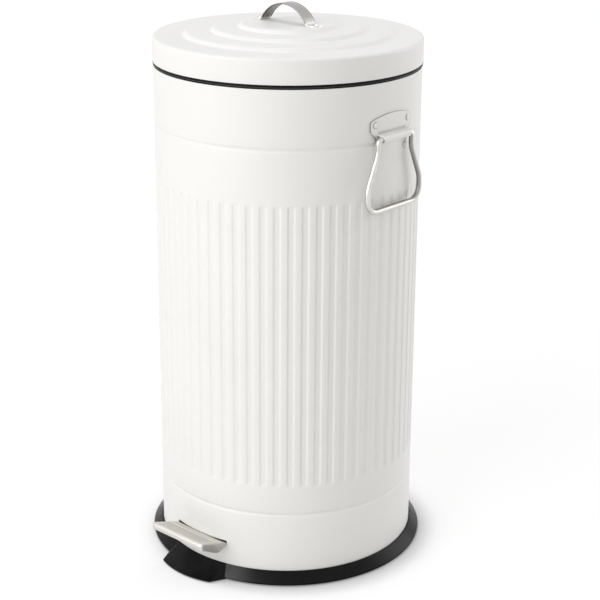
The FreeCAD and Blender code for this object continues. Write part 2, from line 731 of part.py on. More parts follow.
# Lid: stepped sheet, seal ring, strap handle and hinge arm
steps = [("outer_step_radius", "lid_top"), ("middle_step_radius", "lid_top + step_rise"),
         ("inner_step_radius", "lid_top + 2 * step_rise")]
lid_corners = [("lid_radius", "skirt_foot"), ("lid_radius", "lid_top - lid_edge_round", "lid_edge_round", 1),
               ("lid_radius - lid_edge_round", "lid_top")]
for radius, height in steps:
    lid_corners += [(radius + " + step_run / 2", height, "step_round", -1),
                    (radius, height + " + step_rise / 2", "step_round", 1),
                    (radius + " - step_run / 2", height + " + step_rise")]
lid_corners += [("0", "dome_top"), ("0", "dome_top - sheet_wall")]
for radius, height in reversed(steps):
    lid_corners += [(radius + " - step_run / 2", height + " + step_rise - sheet_wall",
                     "step_round - sheet_wall", -1),
                    (radius + " + step_run / 2 * (1 - step_tilt_share)",
                     height + " + step_round - step_tilt_share * (step_round - step_rise / 2)",
                     "step_round + sheet_wall", 1),
                    (radius + " + step_run / 2", height + " - sheet_wall")]
lid_corners += [("lid_radius - lid_edge_round", "lid_top - sheet_wall", "lid_edge_round - sheet_wall", -1),
                ("lid_inside", "lid_top - lid_edge_round"), ("lid_inside", "skirt_foot")]
lid = turned("lid sheet", lid_corners)
strap_places = [(Vector(side * size("strap_rivet_reach"), 0, size("dome_top + strap_wall")), up)
                for side in (-1, 1)]
back = Vector(0, 1, 0)
arm_places = [(Vector(0, size("lid_radius + hinge_arm_wall"),
                      size("skirt_foot + arm_rivet_rise") + turn * size("arm_rivet_pitch")), back)
              for turn in (0, 1)]
strap_drills = drill_set("strap drills", strap_places, size("3 * strap_wall"))
arm_drills = drill_set("arm drills", arm_places, size("2 * hinge_arm_wall"))
node(cut("lid shell", lid, [strap_drills, arm_drills]), "lid_shell")
seal = turned("seal section", [
    ("seal_inside", "seal_foot"), ("rim_radius - rim_round", "seal_foot", "rim_round", 1),
    ("rim_radius", "seal_foot + rim_round"), ("rim_radius", "skirt_foot"), ("upstand_radius", "skirt_foot"),
    ("upstand_radius", "skirt_foot + seal_upstand"),
    ("upstand_radius - rim_wall", "skirt_foot + seal_upstand"),
    ("upstand_radius - rim_wall", "skirt_foot"), ("seal_inside", "skirt_foot")])
seal_notch = block("seal notch", [("-notch_half_width", "notch_half_width"), ("bucket_bail_arc", "hinge_y"),
                                  ("rim_top", "lid_top")])
node(cut("lid seal", seal, [seal_notch]), "lid_seal")


def strap_side(offset, sign):
    """Tangent spot of foot arc and crown on one side of the strap, offset from its middle line."""
    return ("%d * strap_side_share * (strap_round + %s)" % (sign, offset),
            "strap_centre + strap_up_share * (strap_round + %s)" % offset)


strap_end = "strap_foot_centre + strap_tab"
outer = "strap_wall / 2"
inner = "(-strap_wall / 2)"
node(cut("lid handle", drawn("strap", "XZ_Plane", [
    (strap_end, "dome_top"), (strap_end, "dome_top + strap_wall"),
    ("strap_foot_centre", "dome_top + strap_wall", "strap_foot_round - strap_wall / 2", -1),
    strap_side(outer, 1) + ("strap_round + strap_wall / 2", 1),
    strap_side(outer, -1) + ("strap_foot_round - strap_wall / 2", -1),
    ("-strap_foot_centre", "dome_top + strap_wall"), (mirrored(strap_end), "dome_top + strap_wall"),
    (mirrored(strap_end), "dome_top"),
    ("-strap_foot_centre", "dome_top", "strap_foot_round + strap_wall / 2", 1),
    strap_side(inner, -1) + ("strap_round - strap_wall / 2", -1),
    strap_side(inner, 1) + ("strap_foot_round + strap_wall / 2", 1),
    ("strap_foot_centre", "dome_top")], "strap_width"), [strap_drills]), "lid_handle")
node(rivet_set("strap rivets", strap_places, size("strap_wall + sheet_wall")), "lid_handle_rivets")


def stadium(start, end, radius, half):
    """A plate in the y-z plane with round ends, drawn out to both sides of x = 0."""
    along = (end - start).normalize()
    side = Vector(0, -along.z, along.y) * radius
    first = Part.Arc(start + side, start - along * radius, start - side).toShape()
    last = Part.Arc(end - side, end + along * radius, end + side).toShape()
    edges = [first, Part.makeLine(start - side, end - side), last, Part.makeLine(end + side, start + side)]
    face = Part.Face(Part.Wire(edges))
    face.translate(Vector(-half, 0, 0))
    return face.extrude(Vector(2 * half, 0, 0))


axis = Vector(0, size("hinge_y"), size("hinge_z"))
tilt = math.radians(size("lid_opening") / 2)
crank_way = Vector(0, -math.cos(tilt), -math.sin(tilt))
near = axis + crank_way * size("crank_reach")
far = axis + crank_way * size("crank_far")
crank = shaped("crank", stadium(axis, far, size("crank_half"), size("crank_wall / 2")).cut(
    stadium(near, far, size("crank_slot_radius"), size("crank_wall"))))
knuckle = rod("knuckle", "x", ("hinge_y", "hinge_z"), "hinge_boss_radius",
              ("-hinge_arm_half_width", "hinge_arm_half_width"))
arm_plate = block("arm plate", [("-hinge_arm_half_width", "hinge_arm_half_width"),
                                ("lid_inside", "lid_radius + hinge_arm_wall"),
                                ("hinge_z", "skirt_foot + hinge_arm_height")])
lid_bore = rod("lid bore", "z", ("0", "0"), "lid_radius", ("seal_foot - rim_cap", "dome_top"))
arm_outside = cut("arm outside", arm_plate, [lid_bore])
arm_body = fuse("arm pieces", [crank, knuckle, arm_outside])
node(cut("hinge arm", arm_body, [pin_bore, arm_drills]), "lid_hinge_arm")
node(rivet_set("arm rivets", arm_places, size("hinge_arm_wall + sheet_wall + rivet_seat")),
     "lid_hinge_rivets")

# Pedal: tread welded to its lever, and the pivot on the floor plate
pedal_top = "pedal_wall_height - pedal_slope_share * pedal_tail"
channel = drawn("pedal channel", "YZ_Plane", [
    ("pedal_tail - body_radius", pedal_top), ("-pedal_front", "pedal_front_height"),
    ("-pedal_front", "pedal_front_height - pedal_front_lip"),
    ("-body_radius - pedal_heel", "pedal_heel_height"),
    ("pedal_tail - body_radius", "pedal_tail_height")], "2 * pedal_half_width")
round_edge(channel, "pedal_lip_round", Vector(0, -size("pedal_front"), size("pedal_front_height")),
           "pedal_round")
round_edge(channel, "pedal_heel_curve",
           Vector(0, -size("body_radius + pedal_heel"), size("pedal_heel_height")), "pedal_heel_round")
hollow = drawn("pedal hollow", "YZ_Plane", [
    ("pedal_tail - body_radius + pedal_wall", pedal_top + " - pedal_slope_share * pedal_wall - pedal_drop"),
    ("pedal_wall - pedal_front", "pedal_front_height - pedal_slope_share * pedal_wall - pedal_drop"),
    ("pedal_wall - pedal_front", "ring_top - ring_lip_height"),
    ("pedal_tail - body_radius + pedal_wall", "ring_top - ring_lip_height")],
    "2 * pedal_half_width - 2 * pedal_wall")
round_edge(hollow, "pedal_inner_round",
           Vector(0, size("pedal_wall - pedal_front"),
                  size("pedal_front_height - pedal_slope_share * pedal_wall - pedal_drop")),
           "pedal_round - pedal_wall")
wall_clearance = rod("tread clearance", "z", ("0", "0"), "body_radius + pedal_gap",
                     ("shell_foot", "flute_start"))
tread_radius = ("(tread_groove * tread_groove / 4 + tread_groove_depth * tread_groove_depth)"
                " / (2 * tread_groove_depth)")
grooves = []
for turn in range(1, round(size("tread_groove_count")) + 1):
    reach = "(pedal_reach - %d * tread_groove_pitch)" % turn
    grooves.append(rod("tread groove %d" % turn, "x", (
        "-body_radius - " + reach,
        "pedal_wall_height + pedal_slope_share * %s + %s - tread_groove_depth" % (reach, tread_radius)),
        tread_radius, ("tread_groove_pitch - pedal_half_width", "pedal_half_width - tread_groove_pitch")))
node(cut("pedal tread", channel, [hollow, wall_clearance] + grooves), "pedal_tread")
bar = drawn("lever bar", "YZ_Plane", [
    ("-body_radius - lever_front", "lever_front_top"),
    ("-body_radius - lever_front", "lever_front_top - lever_drop"),
    ("lever_bend - body_radius", "lever_top - lever_drop"), ("rod_y - crank_ear / 2", "lever_foot"),
    ("rod_y - crank_ear / 2", "lever_top"), ("lever_bend - body_radius", "lever_top")],
    "2 * lever_half_width")
sleeve = rod("lever sleeve", "x", ("pivot_y", "pivot_z"), "pivot_sleeve_radius",
             ("-lever_half_width", "lever_half_width"))
ear = block("lever ear", [("-crank_wall / 2", "crank_wall / 2"), ("rod_y - crank_ear", "rod_y + crank_half"),
                          ("hook_z - crank_half", "lever_top")])
pivot_bore = rod("pivot bore", "x", ("pivot_y", "pivot_z"), "pivot_pin_radius + pin_fit",
                 ("-pedal_front", "pedal_front"))
hook_bore = rod("hook bore", "x", ("rod_y", "hook_z"), "crank_slot_radius + free_fit",
                ("-crank_wall", "crank_wall"))
node(cut("pedal lever", fuse("lever pieces", [bar, sleeve, ear]), [pivot_bore, hook_bore]), "pedal_lever")
stand = drawn("pivot stand", "XZ_Plane", [
    ("-ear_half", "plate_top"), ("ear_half", "plate_top"), ("ear_half", "pivot_z + pivot_ear_rise"),
    ("ear_half - pivot_ear_wall", "pivot_z + pivot_ear_rise"),
    ("ear_half - pivot_ear_wall", "plate_top + pivot_ear_wall"),
    ("pivot_ear_wall - ear_half", "plate_top + pivot_ear_wall"),
    ("pivot_ear_wall - ear_half", "pivot_z + pivot_ear_rise"), ("-ear_half", "pivot_z + pivot_ear_rise")],
    "pivot_ear_length")
bind(stand, "Placement.Base.y", "pivot_y")
node(cut("pivot bracket", stand, [pivot_bore]), "pivot_bracket")
pin_end = "ear_half + pivot_pin_end"
shaft = rod("pivot shaft", "x", ("pivot_y", "pivot_z"), "pivot_pin_radius",
            ("-ear_half - pivot_pin_end", pin_end))
pin_head = rod("pivot head", "x", ("pivot_y", "pivot_z"), "pivot_sleeve_radius",
               ("ear_half + fastener_play", "ear_half + fastener_play + pivot_head"))
node(fuse("pivot pin", [shaft, pin_head]), "pivot_pin")
clip_disc = rod("clip disc", "x", ("pivot_y", "pivot_z"), "pivot_sleeve_radius",
                ("-ear_half - fastener_play - pivot_head / 2", "-ear_half - fastener_play"))
node(cut("pivot clip", clip_disc, [shaft]), "pivot_clip")

# Push rod and its guides
hook_way = Vector(1, 0, 0)
rod_low = Vector(0, size("rod_y"), size("hook_z"))
rod_high = Vector(0, size("rod_y"), size("rod_top"))
rod_path = rounded_path([rod_low - hook_way * size("rod_end"), rod_low + hook_way * size("rod_side"),
                         rod_high + hook_way * size("rod_side"), rod_high - hook_way * size("rod_end")],
                        [size("rod_bend"), size("rod_bend")])
node(shaped("push rod wire", wire_solid(rod_path, size("rod_radius"))), "push_rod")
guide_drill = rod("guide drill", "z", ("rod_side", "rod_y"), "guide_bore", ("shell_foot", "shell_top"))
wall_core = rod("wall core", "z", ("0", "0"), "shell_inside", ("shell_foot", "shell_top"))
guides = []
for name in ("guide_low", "guide_high"):
    piece = block(name + " block", [("rod_side - guide_half", "rod_side + guide_half"),
                                    ("rod_y - guide_half", "body_radius"),
                                    (name + " - guide_height / 2", name + " + guide_height / 2")])
    guides.append(cut(name + " piece", common(name + " on wall", [piece, wall_core]), [guide_drill]))
pair = named("Part::Compound", "guide pair")
pair.Links = guides
node(pair, "rod_guides")

# Carrying handles: curved brackets with a pressed barrel, rivets and wire bails
bracket_face = drawn("bracket face", "YZ_Plane", [
    ("bracket_tab_round - bracket_tab_half_width", "handle_z - bracket_tab"),
    ("bracket_tab_half_width - bracket_tab_round", "handle_z - bracket_tab", "bracket_tab_round", 1),
    ("bracket_tab_half_width", "handle_z - bracket_tab + bracket_tab_round"),
    ("bracket_tab_half_width", "handle_z"), ("bracket_half_width", "handle_z + bracket_waist"),
    ("bracket_half_width", "handle_z + bracket_shoulder", "bracket_crown_round", 1),
    ("-bracket_half_width", "handle_z + bracket_shoulder"),
    ("-bracket_half_width", "handle_z + bracket_waist"), ("-bracket_tab_half_width", "handle_z"),
    ("-bracket_tab_half_width", "handle_z - bracket_tab + bracket_tab_round", "bracket_tab_round", 1)],
    "2 * pedal_front")
sleeve_outer = rod("bracket outside", "z", ("0", "0"), "body_radius + bracket_wall",
                   ("flute_end", "shell_top"))
body_core = rod("body core", "z", ("0", "0"), "body_radius", ("flute_start", "rim_top"))
for name, low, high, side, places, drills in (
        ("right", "0", "pedal_front", 1, right_places, handle_drills),
        ("left", "-pedal_front", "0", -1, left_places, handle_drills)):
    half = block(name + " half", [(low, high), ("-pedal_front", "pedal_front"), ("flute_end", "shell_top")])
    sheet_part = common(name + " bracket sheet", [bracket_face, sleeve_outer, half])
    spot = ("%d * bail_x" % side, "handle_z")
    barrel = rod(name + " barrel", "y", spot, "barrel_radius", ("-barrel_half_length", "barrel_half_length"))
    bore = rod(name + " barrel bore", "y", spot, "barrel_bore", ("-bracket_half_width", "bracket_half_width"))
    bracket_body = fuse(name + " bracket pieces", [sheet_part, barrel])
    node(cut(name + " bracket", bracket_body, [bore, body_core, drills]), name + "_handle_bracket")
    node(rivet_set(name + " rivet set", places, size("bracket_wall + sheet_wall + rivet_seat")),
         name + "_handle_rivets")
    centre = Vector(side * size("bail_x"), 0, size("handle_z"))
    half_loop = [(size("bail_gap / 2"), 0), (size("bail_neck_half_width"), 0),
                 (size("bail_neck_half_width"), -size("bail_neck_drop")),
                 (size("bail_half_width"), -size("bail_flare_drop")),
                 (size("bail_half_width"), -size("bail_height"))]
    loop = half_loop + [(-across, rise) for across, rise in reversed(half_loop)]
    bends = [size("bail_neck_bend"), size("bail_flare_bend"), size("bail_flare_bend"), size("bail_corner")]
    path = rounded_path([centre + Vector(0, across, rise) for across, rise in loop], bends + bends[::-1])
    node(shaped(name + " bail wire", wire_solid(path, size("bail_radius"))), name + "_bail")

# Bucket with its wire bail and grip
bucket_low = "bucket_radius - bucket_taper"
bucket = turned("bucket section", [
    ("0", "bucket_floor_height"), (bucket_low, "bucket_floor_height"), ("bucket_radius", "ledge_top"),
    ("bucket_flange_radius", "ledge_top"), ("bucket_flange_radius", "ledge_top + bucket_flange"),
    ("bucket_radius - bucket_wall", "ledge_top + bucket_flange"),
    (bucket_low + " - bucket_wall", "bucket_floor_height + bucket_floor"),
    ("0", "bucket_floor_height + bucket_floor")])
round_edge(bucket, "bucket_outer_round", up * size("bucket_floor_height"), "bucket_round")
round_edge(bucket, "bucket_inner_round", up * size("bucket_floor_height + bucket_floor"),
           "bucket_round - bucket_wall")
bucket_notch = block("bucket notch", [("-notch_half_width", "notch_half_width"),
                                      ("bucket_bail_arc", "hinge_y"), ("ledge_top - notch_depth", "lid_top")])
bail_bore = rod("bail bore", "x", ("0", "bucket_bail_z"), "bucket_bail_radius + free_fit / 2",
                ("-body_radius", "body_radius"))
node(cut("bucket", bucket, [bucket_notch, bail_bore]), "bucket")
arc_radius = size("bucket_bail_arc")
bend = size("bucket_bail_bend")
bail_height = size("bucket_bail_z")
bail_end = size("bucket_radius")


def flat(across, along):
    return Vector(across, along, bail_height)


corner = math.sqrt(0.5) * bend
right_bend = Part.Arc(flat(arc_radius + bend, 0), flat(arc_radius + bend - corner, corner - bend),
                      flat(arc_radius, -bend)).toShape()
left_bend = Part.Arc(flat(-arc_radius, -bend), flat(corner - arc_radius - bend, corner - bend),
                     flat(-arc_radius - bend, 0)).toShape()
bow = Part.Arc(flat(arc_radius, -bend), flat(0, -arc_radius - bend), flat(-arc_radius, -bend)).toShape()
bail_path = Part.Wire([Part.makeLine(flat(bail_end, 0), flat(arc_radius + bend, 0)), right_bend, bow,
                       left_bend, Part.makeLine(flat(-arc_radius - bend, 0), flat(-bail_end, 0))])
node(shaped("bucket bail wire", wire_solid(bail_path, size("bucket_bail_radius"))), "bucket_bail")
grip_angle = math.radians(size("bucket_grip_half_angle"))
grip_ends = [flat(side * arc_radius * math.sin(grip_angle), -bend - arc_radius * math.cos(grip_angle))
             for side in (-1, 1)]
grip_path = Part.Wire([Part.Arc(grip_ends[0], flat(0, -arc_radius - bend), grip_ends[1]).toShape()])
grip_core = wire_solid(grip_path, size("bucket_bail_radius + pin_fit"))
grip = wire_solid(grip_path, size("bucket_grip_radius")).cut(grip_core)
node(shaped("bucket grip", grip), "bucket_bail_grip")

# Check every object, then export every node
doc.recompute()
for item in doc.Objects:
    if "Invalid" in item.State or "Error" in item.State:
        raise RuntimeError("object %s is %s" % (item.Label, item.State))
os.makedirs("parts", exist_ok=True)
for item in nodes:
    if item.Shape.isNull() or not item.Shape.isValid():
        raise RuntimeError("node %s has no valid shape" % item.Label)
    item.Shape.exportStep(os.path.join("parts", item.Label + ".step"))
    print("%-24s %2d solids %10.1f mm3" % (item.Label, len(item.Shape.Solids), item.Shape.Volume))
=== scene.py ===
import math

import bmesh
import bpy
import numpy as np
from mathutils import Matrix


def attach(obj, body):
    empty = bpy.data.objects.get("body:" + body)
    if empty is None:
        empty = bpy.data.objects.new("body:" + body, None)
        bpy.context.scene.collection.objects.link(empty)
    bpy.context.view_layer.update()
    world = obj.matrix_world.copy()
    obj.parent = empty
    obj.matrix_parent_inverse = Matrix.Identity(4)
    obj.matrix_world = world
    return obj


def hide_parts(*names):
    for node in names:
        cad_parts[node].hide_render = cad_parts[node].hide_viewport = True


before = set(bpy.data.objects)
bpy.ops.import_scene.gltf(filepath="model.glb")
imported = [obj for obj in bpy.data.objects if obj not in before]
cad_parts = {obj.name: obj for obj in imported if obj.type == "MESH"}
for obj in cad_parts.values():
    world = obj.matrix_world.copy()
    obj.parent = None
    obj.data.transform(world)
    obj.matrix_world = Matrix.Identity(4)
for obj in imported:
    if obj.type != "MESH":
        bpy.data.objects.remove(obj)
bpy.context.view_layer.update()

# Sizes of the bin in millimetres, close to those of the part's own source, and plain shares
BODY_RADIUS = 150.0
SHEET = 0.6
SHELL_FOOT = 5.0
SHELL_TOP = 570.0
BEAD_HEIGHTS = (83.8, 505.3)
BEAD_HALF = 3.5
BEAD_DEPTH = 1.5
FLUTES = 62
FLUTE_DEPTH = 0.95
FLUTE_FLOOR_SHARE = 0.46
FLUTE_FLANK = 2.6
FLUTE_LOW = 119.6
FLUTE_HIGH = 444.4
FLUTE_RUN_OUT = 6.0
SLOT_HALF = 11.6
SLOT_FOOT = 25.1
SLIT_HALF = 38.8
SLIT_FOOT = 39.2
SLIT_TOP = 42.95
CRANK_SLOT_HALF = 2.0
CRANK_SLOT_FOOT = 558.4
RING_TOP = 14.0
RING_RADIUS = 161.8
RING_BORE = 150.15
RING_INSIDE = 138.0
RING_LIP = 1.6
RING_FOOT_EDGE = 2.2
TOE_HALF = 38.5
TOE_ROOT_HALF = 50.0
TOE_CORNER = 173.5
TOE_FRONT = 181.5
TOE_DRAWN = 0.1
TOE_LIP = 0.94
FLOOR_GAP = 1.0
RIM_TOP = 572.3
RIM_RADIUS = 150.3
RIM_FOOT = 556.0
RIM_SKIRT = 149.25
RIM_WALL = 1.8
LEDGE_TOP = 567.6
LEDGE_WALL = 2.2
LEDGE_INSIDE = 140.3
SEAT_RADIUS = 144.8
NOTCH_HALF = 15.0
SEAL_FOOT = 572.6
SEAL_TOP = 574.7
SEAL_INSIDE = 148.4
SEAL_UPSTAND = 587.7
SEAL_INSET = 0.1
SEAL_PLAY = 0.15
LID_RADIUS = 150.9
LID_FOOT = 574.7
LID_TOP = 602.2
LID_EDGE = 3.6
LID_BRIM = 124.0
LID_SKIRT_ROW = 585.0
LID_STEPS = (115.4, 84.1, 54.2)
STEP_RISE = 4.1
STEP_RUN = 6.0
DOME_TOP = 614.5
STRAP_FOOT = 35.6
STRAP_END = 48.0
STRAP_HEIGHT = 20.8
STRAP_BEND = 3.5
STRAP_HALF = 8.5
STRAP_WALL = 1.2
STRAP_ARC = 0.45
STRAP_RIVET = 42.0
HINGE_Y = 156.5
HINGE_BOSS = 4.8
HINGE_HALF = 27.8
HINGE_WALL = 150.15
HINGE_FOOT = 524.0
HINGE_BACK = 181.0
HINGE_SHOULDER = 564.3
HINGE_STEP = 565.2
HINGE_ROUND = 6.0
HINGE_EDGE = 2.2
FORK_HALF = 9.0
FORK_BACK = 161.8
FORK_FLOOR = 558.4
FORK_STEP = 0.001
HANDLE_Z = 511.0
HANDLE_RIVETS = ((-27.0, 15.0), (27.0, 15.0), (-22.0, -14.0), (22.0, -14.0))
BAIL_X = 154.2
BAIL_WIRE = 3.1
BAIL_LINE = [(3.0, 0.0), (28.6, 0.0), (28.6, -16.0), (44.6, -52.0), (44.6, -78.0)]
BAIL_BENDS = [5.0, 28.0, 28.0, 15.0]
BRACKET_WALL = 1.2
PLATE_FOOT = -21.0
PLATE_WAIST = 26.5
PLATE_SHOULDER = 34.0
PLATE_CREST = 25.5
PLATE_SOFT_FROM = -14.0
PLATE_SOFT_TO = 21.5
SHOULDER_RISE = 8.0
TAB_CORNER = 6.0
CROWN_RADIUS = 92.17
CROWN_RISE = 5.5
BARREL_HALF = 24.0
BARREL_RADIUS = 4.65
BARREL_SIDE = 4.2
BARREL_OPEN = 4.9
BARREL_REACH = 7.2
BARREL_FALL = 40.0
BARREL_FILLET = 1.6
BARREL_SHARE = 0.8
BARREL_STEP = 0.001
RIVET_HEAD = 3.6
RIVET_DOME = 1.5
RIVET_SHANK = 2.0
RIVET_TAIL = 0.9
PEDAL_HALF = 39.5
PEDAL_FRONT = 188.0
PEDAL_FRONT_Z = 56.4
PEDAL_WALL_Z = 42.9
PEDAL_GAP = 0.9
PEDAL_REAR_RUN = 9.0
PEDAL_SHEET = 1.5
PEDAL_FOLD = 4.0
PEDAL_SIDE_FOLD = 2.0
PEDAL_SIDE_LEAST = 0.4
PEDAL_LIP = 8.0
PEDAL_HEEL = 160.0
PEDAL_HEEL_Z = 33.2
PEDAL_HEEL_ROUND = 12.0
PEDAL_TAIL = 145.0
PEDAL_TAIL_Z = 38.6
GROOVE_DEPTH = 0.9
GROOVE_HALF = 1.4
GROOVES_BACK = np.array([6.5, 11.7, 16.9, 22.1])
GROOVE_END = 35.5
GROOVE_FADE = 2.2
RIVET_COLUMNS = 32
WIRE_COLUMNS = 28
MM = 0.001

# Strengths and sizes of painted shade at seams, creases and shaded sides, of painted highlight and
# sheen, and of the polish on rivet heads; the sheen's in degrees
SHEEN_TONE = 0.85
SHEEN_END = 31.0
SHEEN_FADE = 15.0
RIM_EDGE_WIDE = 1.2
RIM_EDGE_TALL = 0.8
RIM_EDGE_FADE = 0.4
CREASE_TONE = 0.42
CREASE_RISE = 6.2
CREASE_WIDE = 1.6
NECK_RISE = 1.0
NECK_TALL = 4.5
NECK_WIDE = 1.6
RIVET_SHADE = 0.8
RIVET_SHADE_FADE = 0.4
RIVET_POLISH = 0.75
WIRE_SHADE_SHARE = 0.75
GROOVE_SHADE = 0.9
TREAD_SIDE_SHADE = 0.28
STRAP_UNDER_SHADE = 0.32
STRAP_UNDER_EDGE_SHADE = 0.55
STRAP_EDGE_SHADE = 0.25


def eased(share):
    """Runs smoothly from 0 to 1 with share: three times its square less twice its cube."""
    share = np.clip(share, 0, 1)
    return share * share * (3 - 2 * share)


def raised_cosine(distance, half):
    """1 on a line and 0 from half on to both sides: half of one plus the cosine of pi times the
    distance over half."""
    wave = 0.5 + 0.5 * np.cos(math.pi * distance / half)
    return np.where(np.abs(distance) < half, wave, 0.0)


def normals(line):
    """Unit directions at right angles to a flat line, on its right side."""
    way = np.gradient(line, axis=0)
    beside = np.stack([way[:, 1], -way[:, 0]], -1)
    return beside / np.linalg.norm(beside, axis=1, keepdims=True)


def rounded(corners, radii, steps=8):
    """A path of straight runs with an arc at each inner corner. An arc of radius r starts and
    ends r over the tangent of half the corner's angle away from the corner, and its centre is on
    the corner's bisector."""
    corners = np.asarray(corners, float)
    path = [corners[:1]]
    for before, corner, after, radius in zip(corners, corners[1:], corners[2:], radii):
        back = (before - corner) / np.linalg.norm(before - corner)
        ahead = (after - corner) / np.linalg.norm(after - corner)
        half = math.acos(np.clip(back @ ahead, -1, 1)) / 2
        bisector = (back + ahead) / np.linalg.norm(back + ahead)
        centre = corner + bisector * radius / math.sin(half)
        first = corner + back * radius / math.tan(half) - centre
        last = corner + ahead * radius / math.tan(half) - centre
        turn = math.pi - 2 * half
        share = np.linspace(0, 1, steps + 1)[:, None]
        arc = np.sin((1 - share) * turn) * first + np.sin(share * turn) * last
        path.append(centre + arc / math.sin(turn))
    path.append(corners[-1:])
    return np.concatenate(path)


def rounded_loop(corners, radii, steps=4):
    """A closed outline with an arc at every corner: the open path from the middle of the last
    side and back."""
    corners = np.asarray(corners, float)
    middle = (corners[-1] + corners[0]) / 2
    return rounded(np.concatenate([[middle], corners, [middle]]), radii, steps)[:-1]


def divided(loop, longest):
    """A closed outline whose sides are cut into equal steps, none longer than a given length:
    each step starts at the side's start plus its number over the side's count of steps times the
    side."""
    side = np.roll(loop, -1, axis=0) - loop
    count = np.ceil(np.linalg.norm(side, axis=1) / longest).astype(int)
    number = np.arange(count.sum()) - np.repeat(np.cumsum(count) - count, count)
    step = np.repeat(side / count[:, None], count, axis=0)
    return np.repeat(loop, count, axis=0) + step * number[:, None]


def grid(points, wrap_rows=False, wrap_columns=False, keep=None):
    """The four-sided cells between neighbouring rows and columns of a grid of points. A wrapped
    side goes on to its first line again, and a cell whose keep is false stays open."""
    rows, columns = points.shape[:2]
    index = np.arange(rows * columns).reshape(rows, columns)
    if wrap_rows:
        index = np.concatenate([index, index[:1]])
    if wrap_columns:
        index = np.concatenate([index, index[:, :1]], axis=1)
    cells = np.stack([index[:-1, :-1], index[:-1, 1:], index[1:, 1:], index[1:, :-1]], axis=-1)
    cells = cells.reshape(-1, 4) if keep is None else cells[keep]
    return points.reshape(-1, 3), cells.tolist()


def end_faces(vertices, count):
    """One face over the first row of a grid and one over its last, each of count points."""
    return [list(range(count)), list(range(len(vertices) - count, len(vertices)))]


def turned(profile, columns=240, start=0.0, sweep=2 * math.pi):
    """A closed profile of radius and height carried round the z axis; a part turn gets a flat end
    at each side."""
    full = sweep >= 2 * math.pi
    turn = start + np.linspace(0, sweep, columns, endpoint=not full)[:, None]
    radius, height = profile[:, 0], profile[:, 1]
    points = np.stack([radius * np.cos(turn), radius * np.sin(turn), height + 0 * turn], axis=-1)
    vertices, faces = grid(points, wrap_rows=full, wrap_columns=True)
    if not full:
        faces += end_faces(vertices, len(profile))
    return vertices, faces


def carried(path, section, across, scale=None):
    """A closed section carried along a flat path: its first coordinate goes along across, the
    path plane's normal, and its second along the cross product of across and the path's
    direction. Scale widens the first coordinate station by station. Both ends are closed."""
    way = np.gradient(path, axis=0)
    way /= np.linalg.norm(way, axis=1, keepdims=True)
    across = np.asarray(across, float)
    up = np.cross(across, way)
    wide = section[None, :, 0] * (np.ones(len(path)) if scale is None else scale)[:, None]
    points = path[:, None] + wide[..., None] * across + section[None, :, 1, None] * up[:, None]
    vertices, faces = grid(points, wrap_columns=True)
    return vertices, faces + end_faces(vertices, len(section))


def circle(radius, count):
    """Points of a circle: radius times the cosine and sine of equal turns."""
    turn = np.linspace(0, 2 * math.pi, count, endpoint=False)
    return radius * np.stack([np.cos(turn), np.sin(turn)], axis=-1)


def moved(part, spot, way):
    """A part whose z axis is turned to a direction and whose origin is put on a spot."""
    way = np.asarray(way, float) / np.linalg.norm(way)
    helper = np.array([0.0, 0.0, 1.0]) if abs(way[2]) < 0.9 else np.array([1.0, 0.0, 0.0])
    side = np.cross(helper, way)
    side /= np.linalg.norm(side)
    return part[0] @ np.stack([side, np.cross(way, side), way]) + np.asarray(spot, float), part[1]


def joined(parts):
    """Several parts as one list of vertices and one of faces."""
    starts = np.cumsum([0] + [len(vertices) for vertices, _ in parts])
    faces = [[corner + int(start) for corner in face]
             for (_, cells), start in zip(parts, starts) for face in cells]
    return np.concatenate([vertices for vertices, _ in parts]), faces


def in_scene(name, data):
    """A new object in the scene, at the origin."""
    made = bpy.data.objects.new(name, data)
    bpy.context.scene.collection.objects.link(made)
    return made


def piece(name, part, body, finish, stands_for=(), crease=38.0, wall=None, solid=True,
          values=None):
    """Puts vertices and faces into one object at the origin, rides it on its body and hides the CAD
    parts it stands for. A solid part has its doubles merged and its normals turned out; a wall
    gives an open sheet its thickness, and its open edges stay crisp. Each of the values is worked
    out from the finished points in millimetres."""
    vertices, faces = part
    mesh = bpy.data.meshes.new(name)
    mesh.from_pydata((vertices * MM).tolist(), [], faces)
    if solid:
        work = bmesh.new()
        work.from_mesh(mesh)
        bmesh.ops.remove_doubles(work, verts=work.verts, dist=2e-6)
        bmesh.ops.dissolve_degenerate(work, edges=work.edges, dist=1e-6)
        bmesh.ops.recalc_face_normals(work, faces=work.faces)
        work.to_mesh(mesh)
        work.free()
    points = np.empty(3 * len(mesh.vertices))
    mesh.vertices.foreach_get("co", points)
    for label, value_at in (values or {}).items():
        numbers = value_at(*(points.reshape(-1, 3) / MM).T).astype(np.float32)
        mesh.attributes.new(label, "FLOAT", "POINT").data.foreach_set("value", numbers)
    mesh.shade_smooth()
    mesh.set_sharp_from_angle(angle=math.radians(crease))
    if wall:
        edge_of = np.empty(len(mesh.loops), np.int32)
        mesh.loops.foreach_get("edge_index", edge_of)
        crisp = np.empty(len(mesh.edges), bool)
        mesh.edges.foreach_get("use_edge_sharp", crisp)
        crisp |= np.bincount(edge_of, minlength=len(mesh.edges)) == 1
        mesh.edges.foreach_set("use_edge_sharp", crisp)
    mesh.materials.append(finish)
    made = in_scene(name, mesh)
    if wall:
        thick = made.modifiers.new("wall", "SOLIDIFY")
        thick.thickness = wall * MM
        thick.offset = -1
        thick.use_even_offset = True
    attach(made, body)
    if stands_for:
        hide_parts(*stands_for)


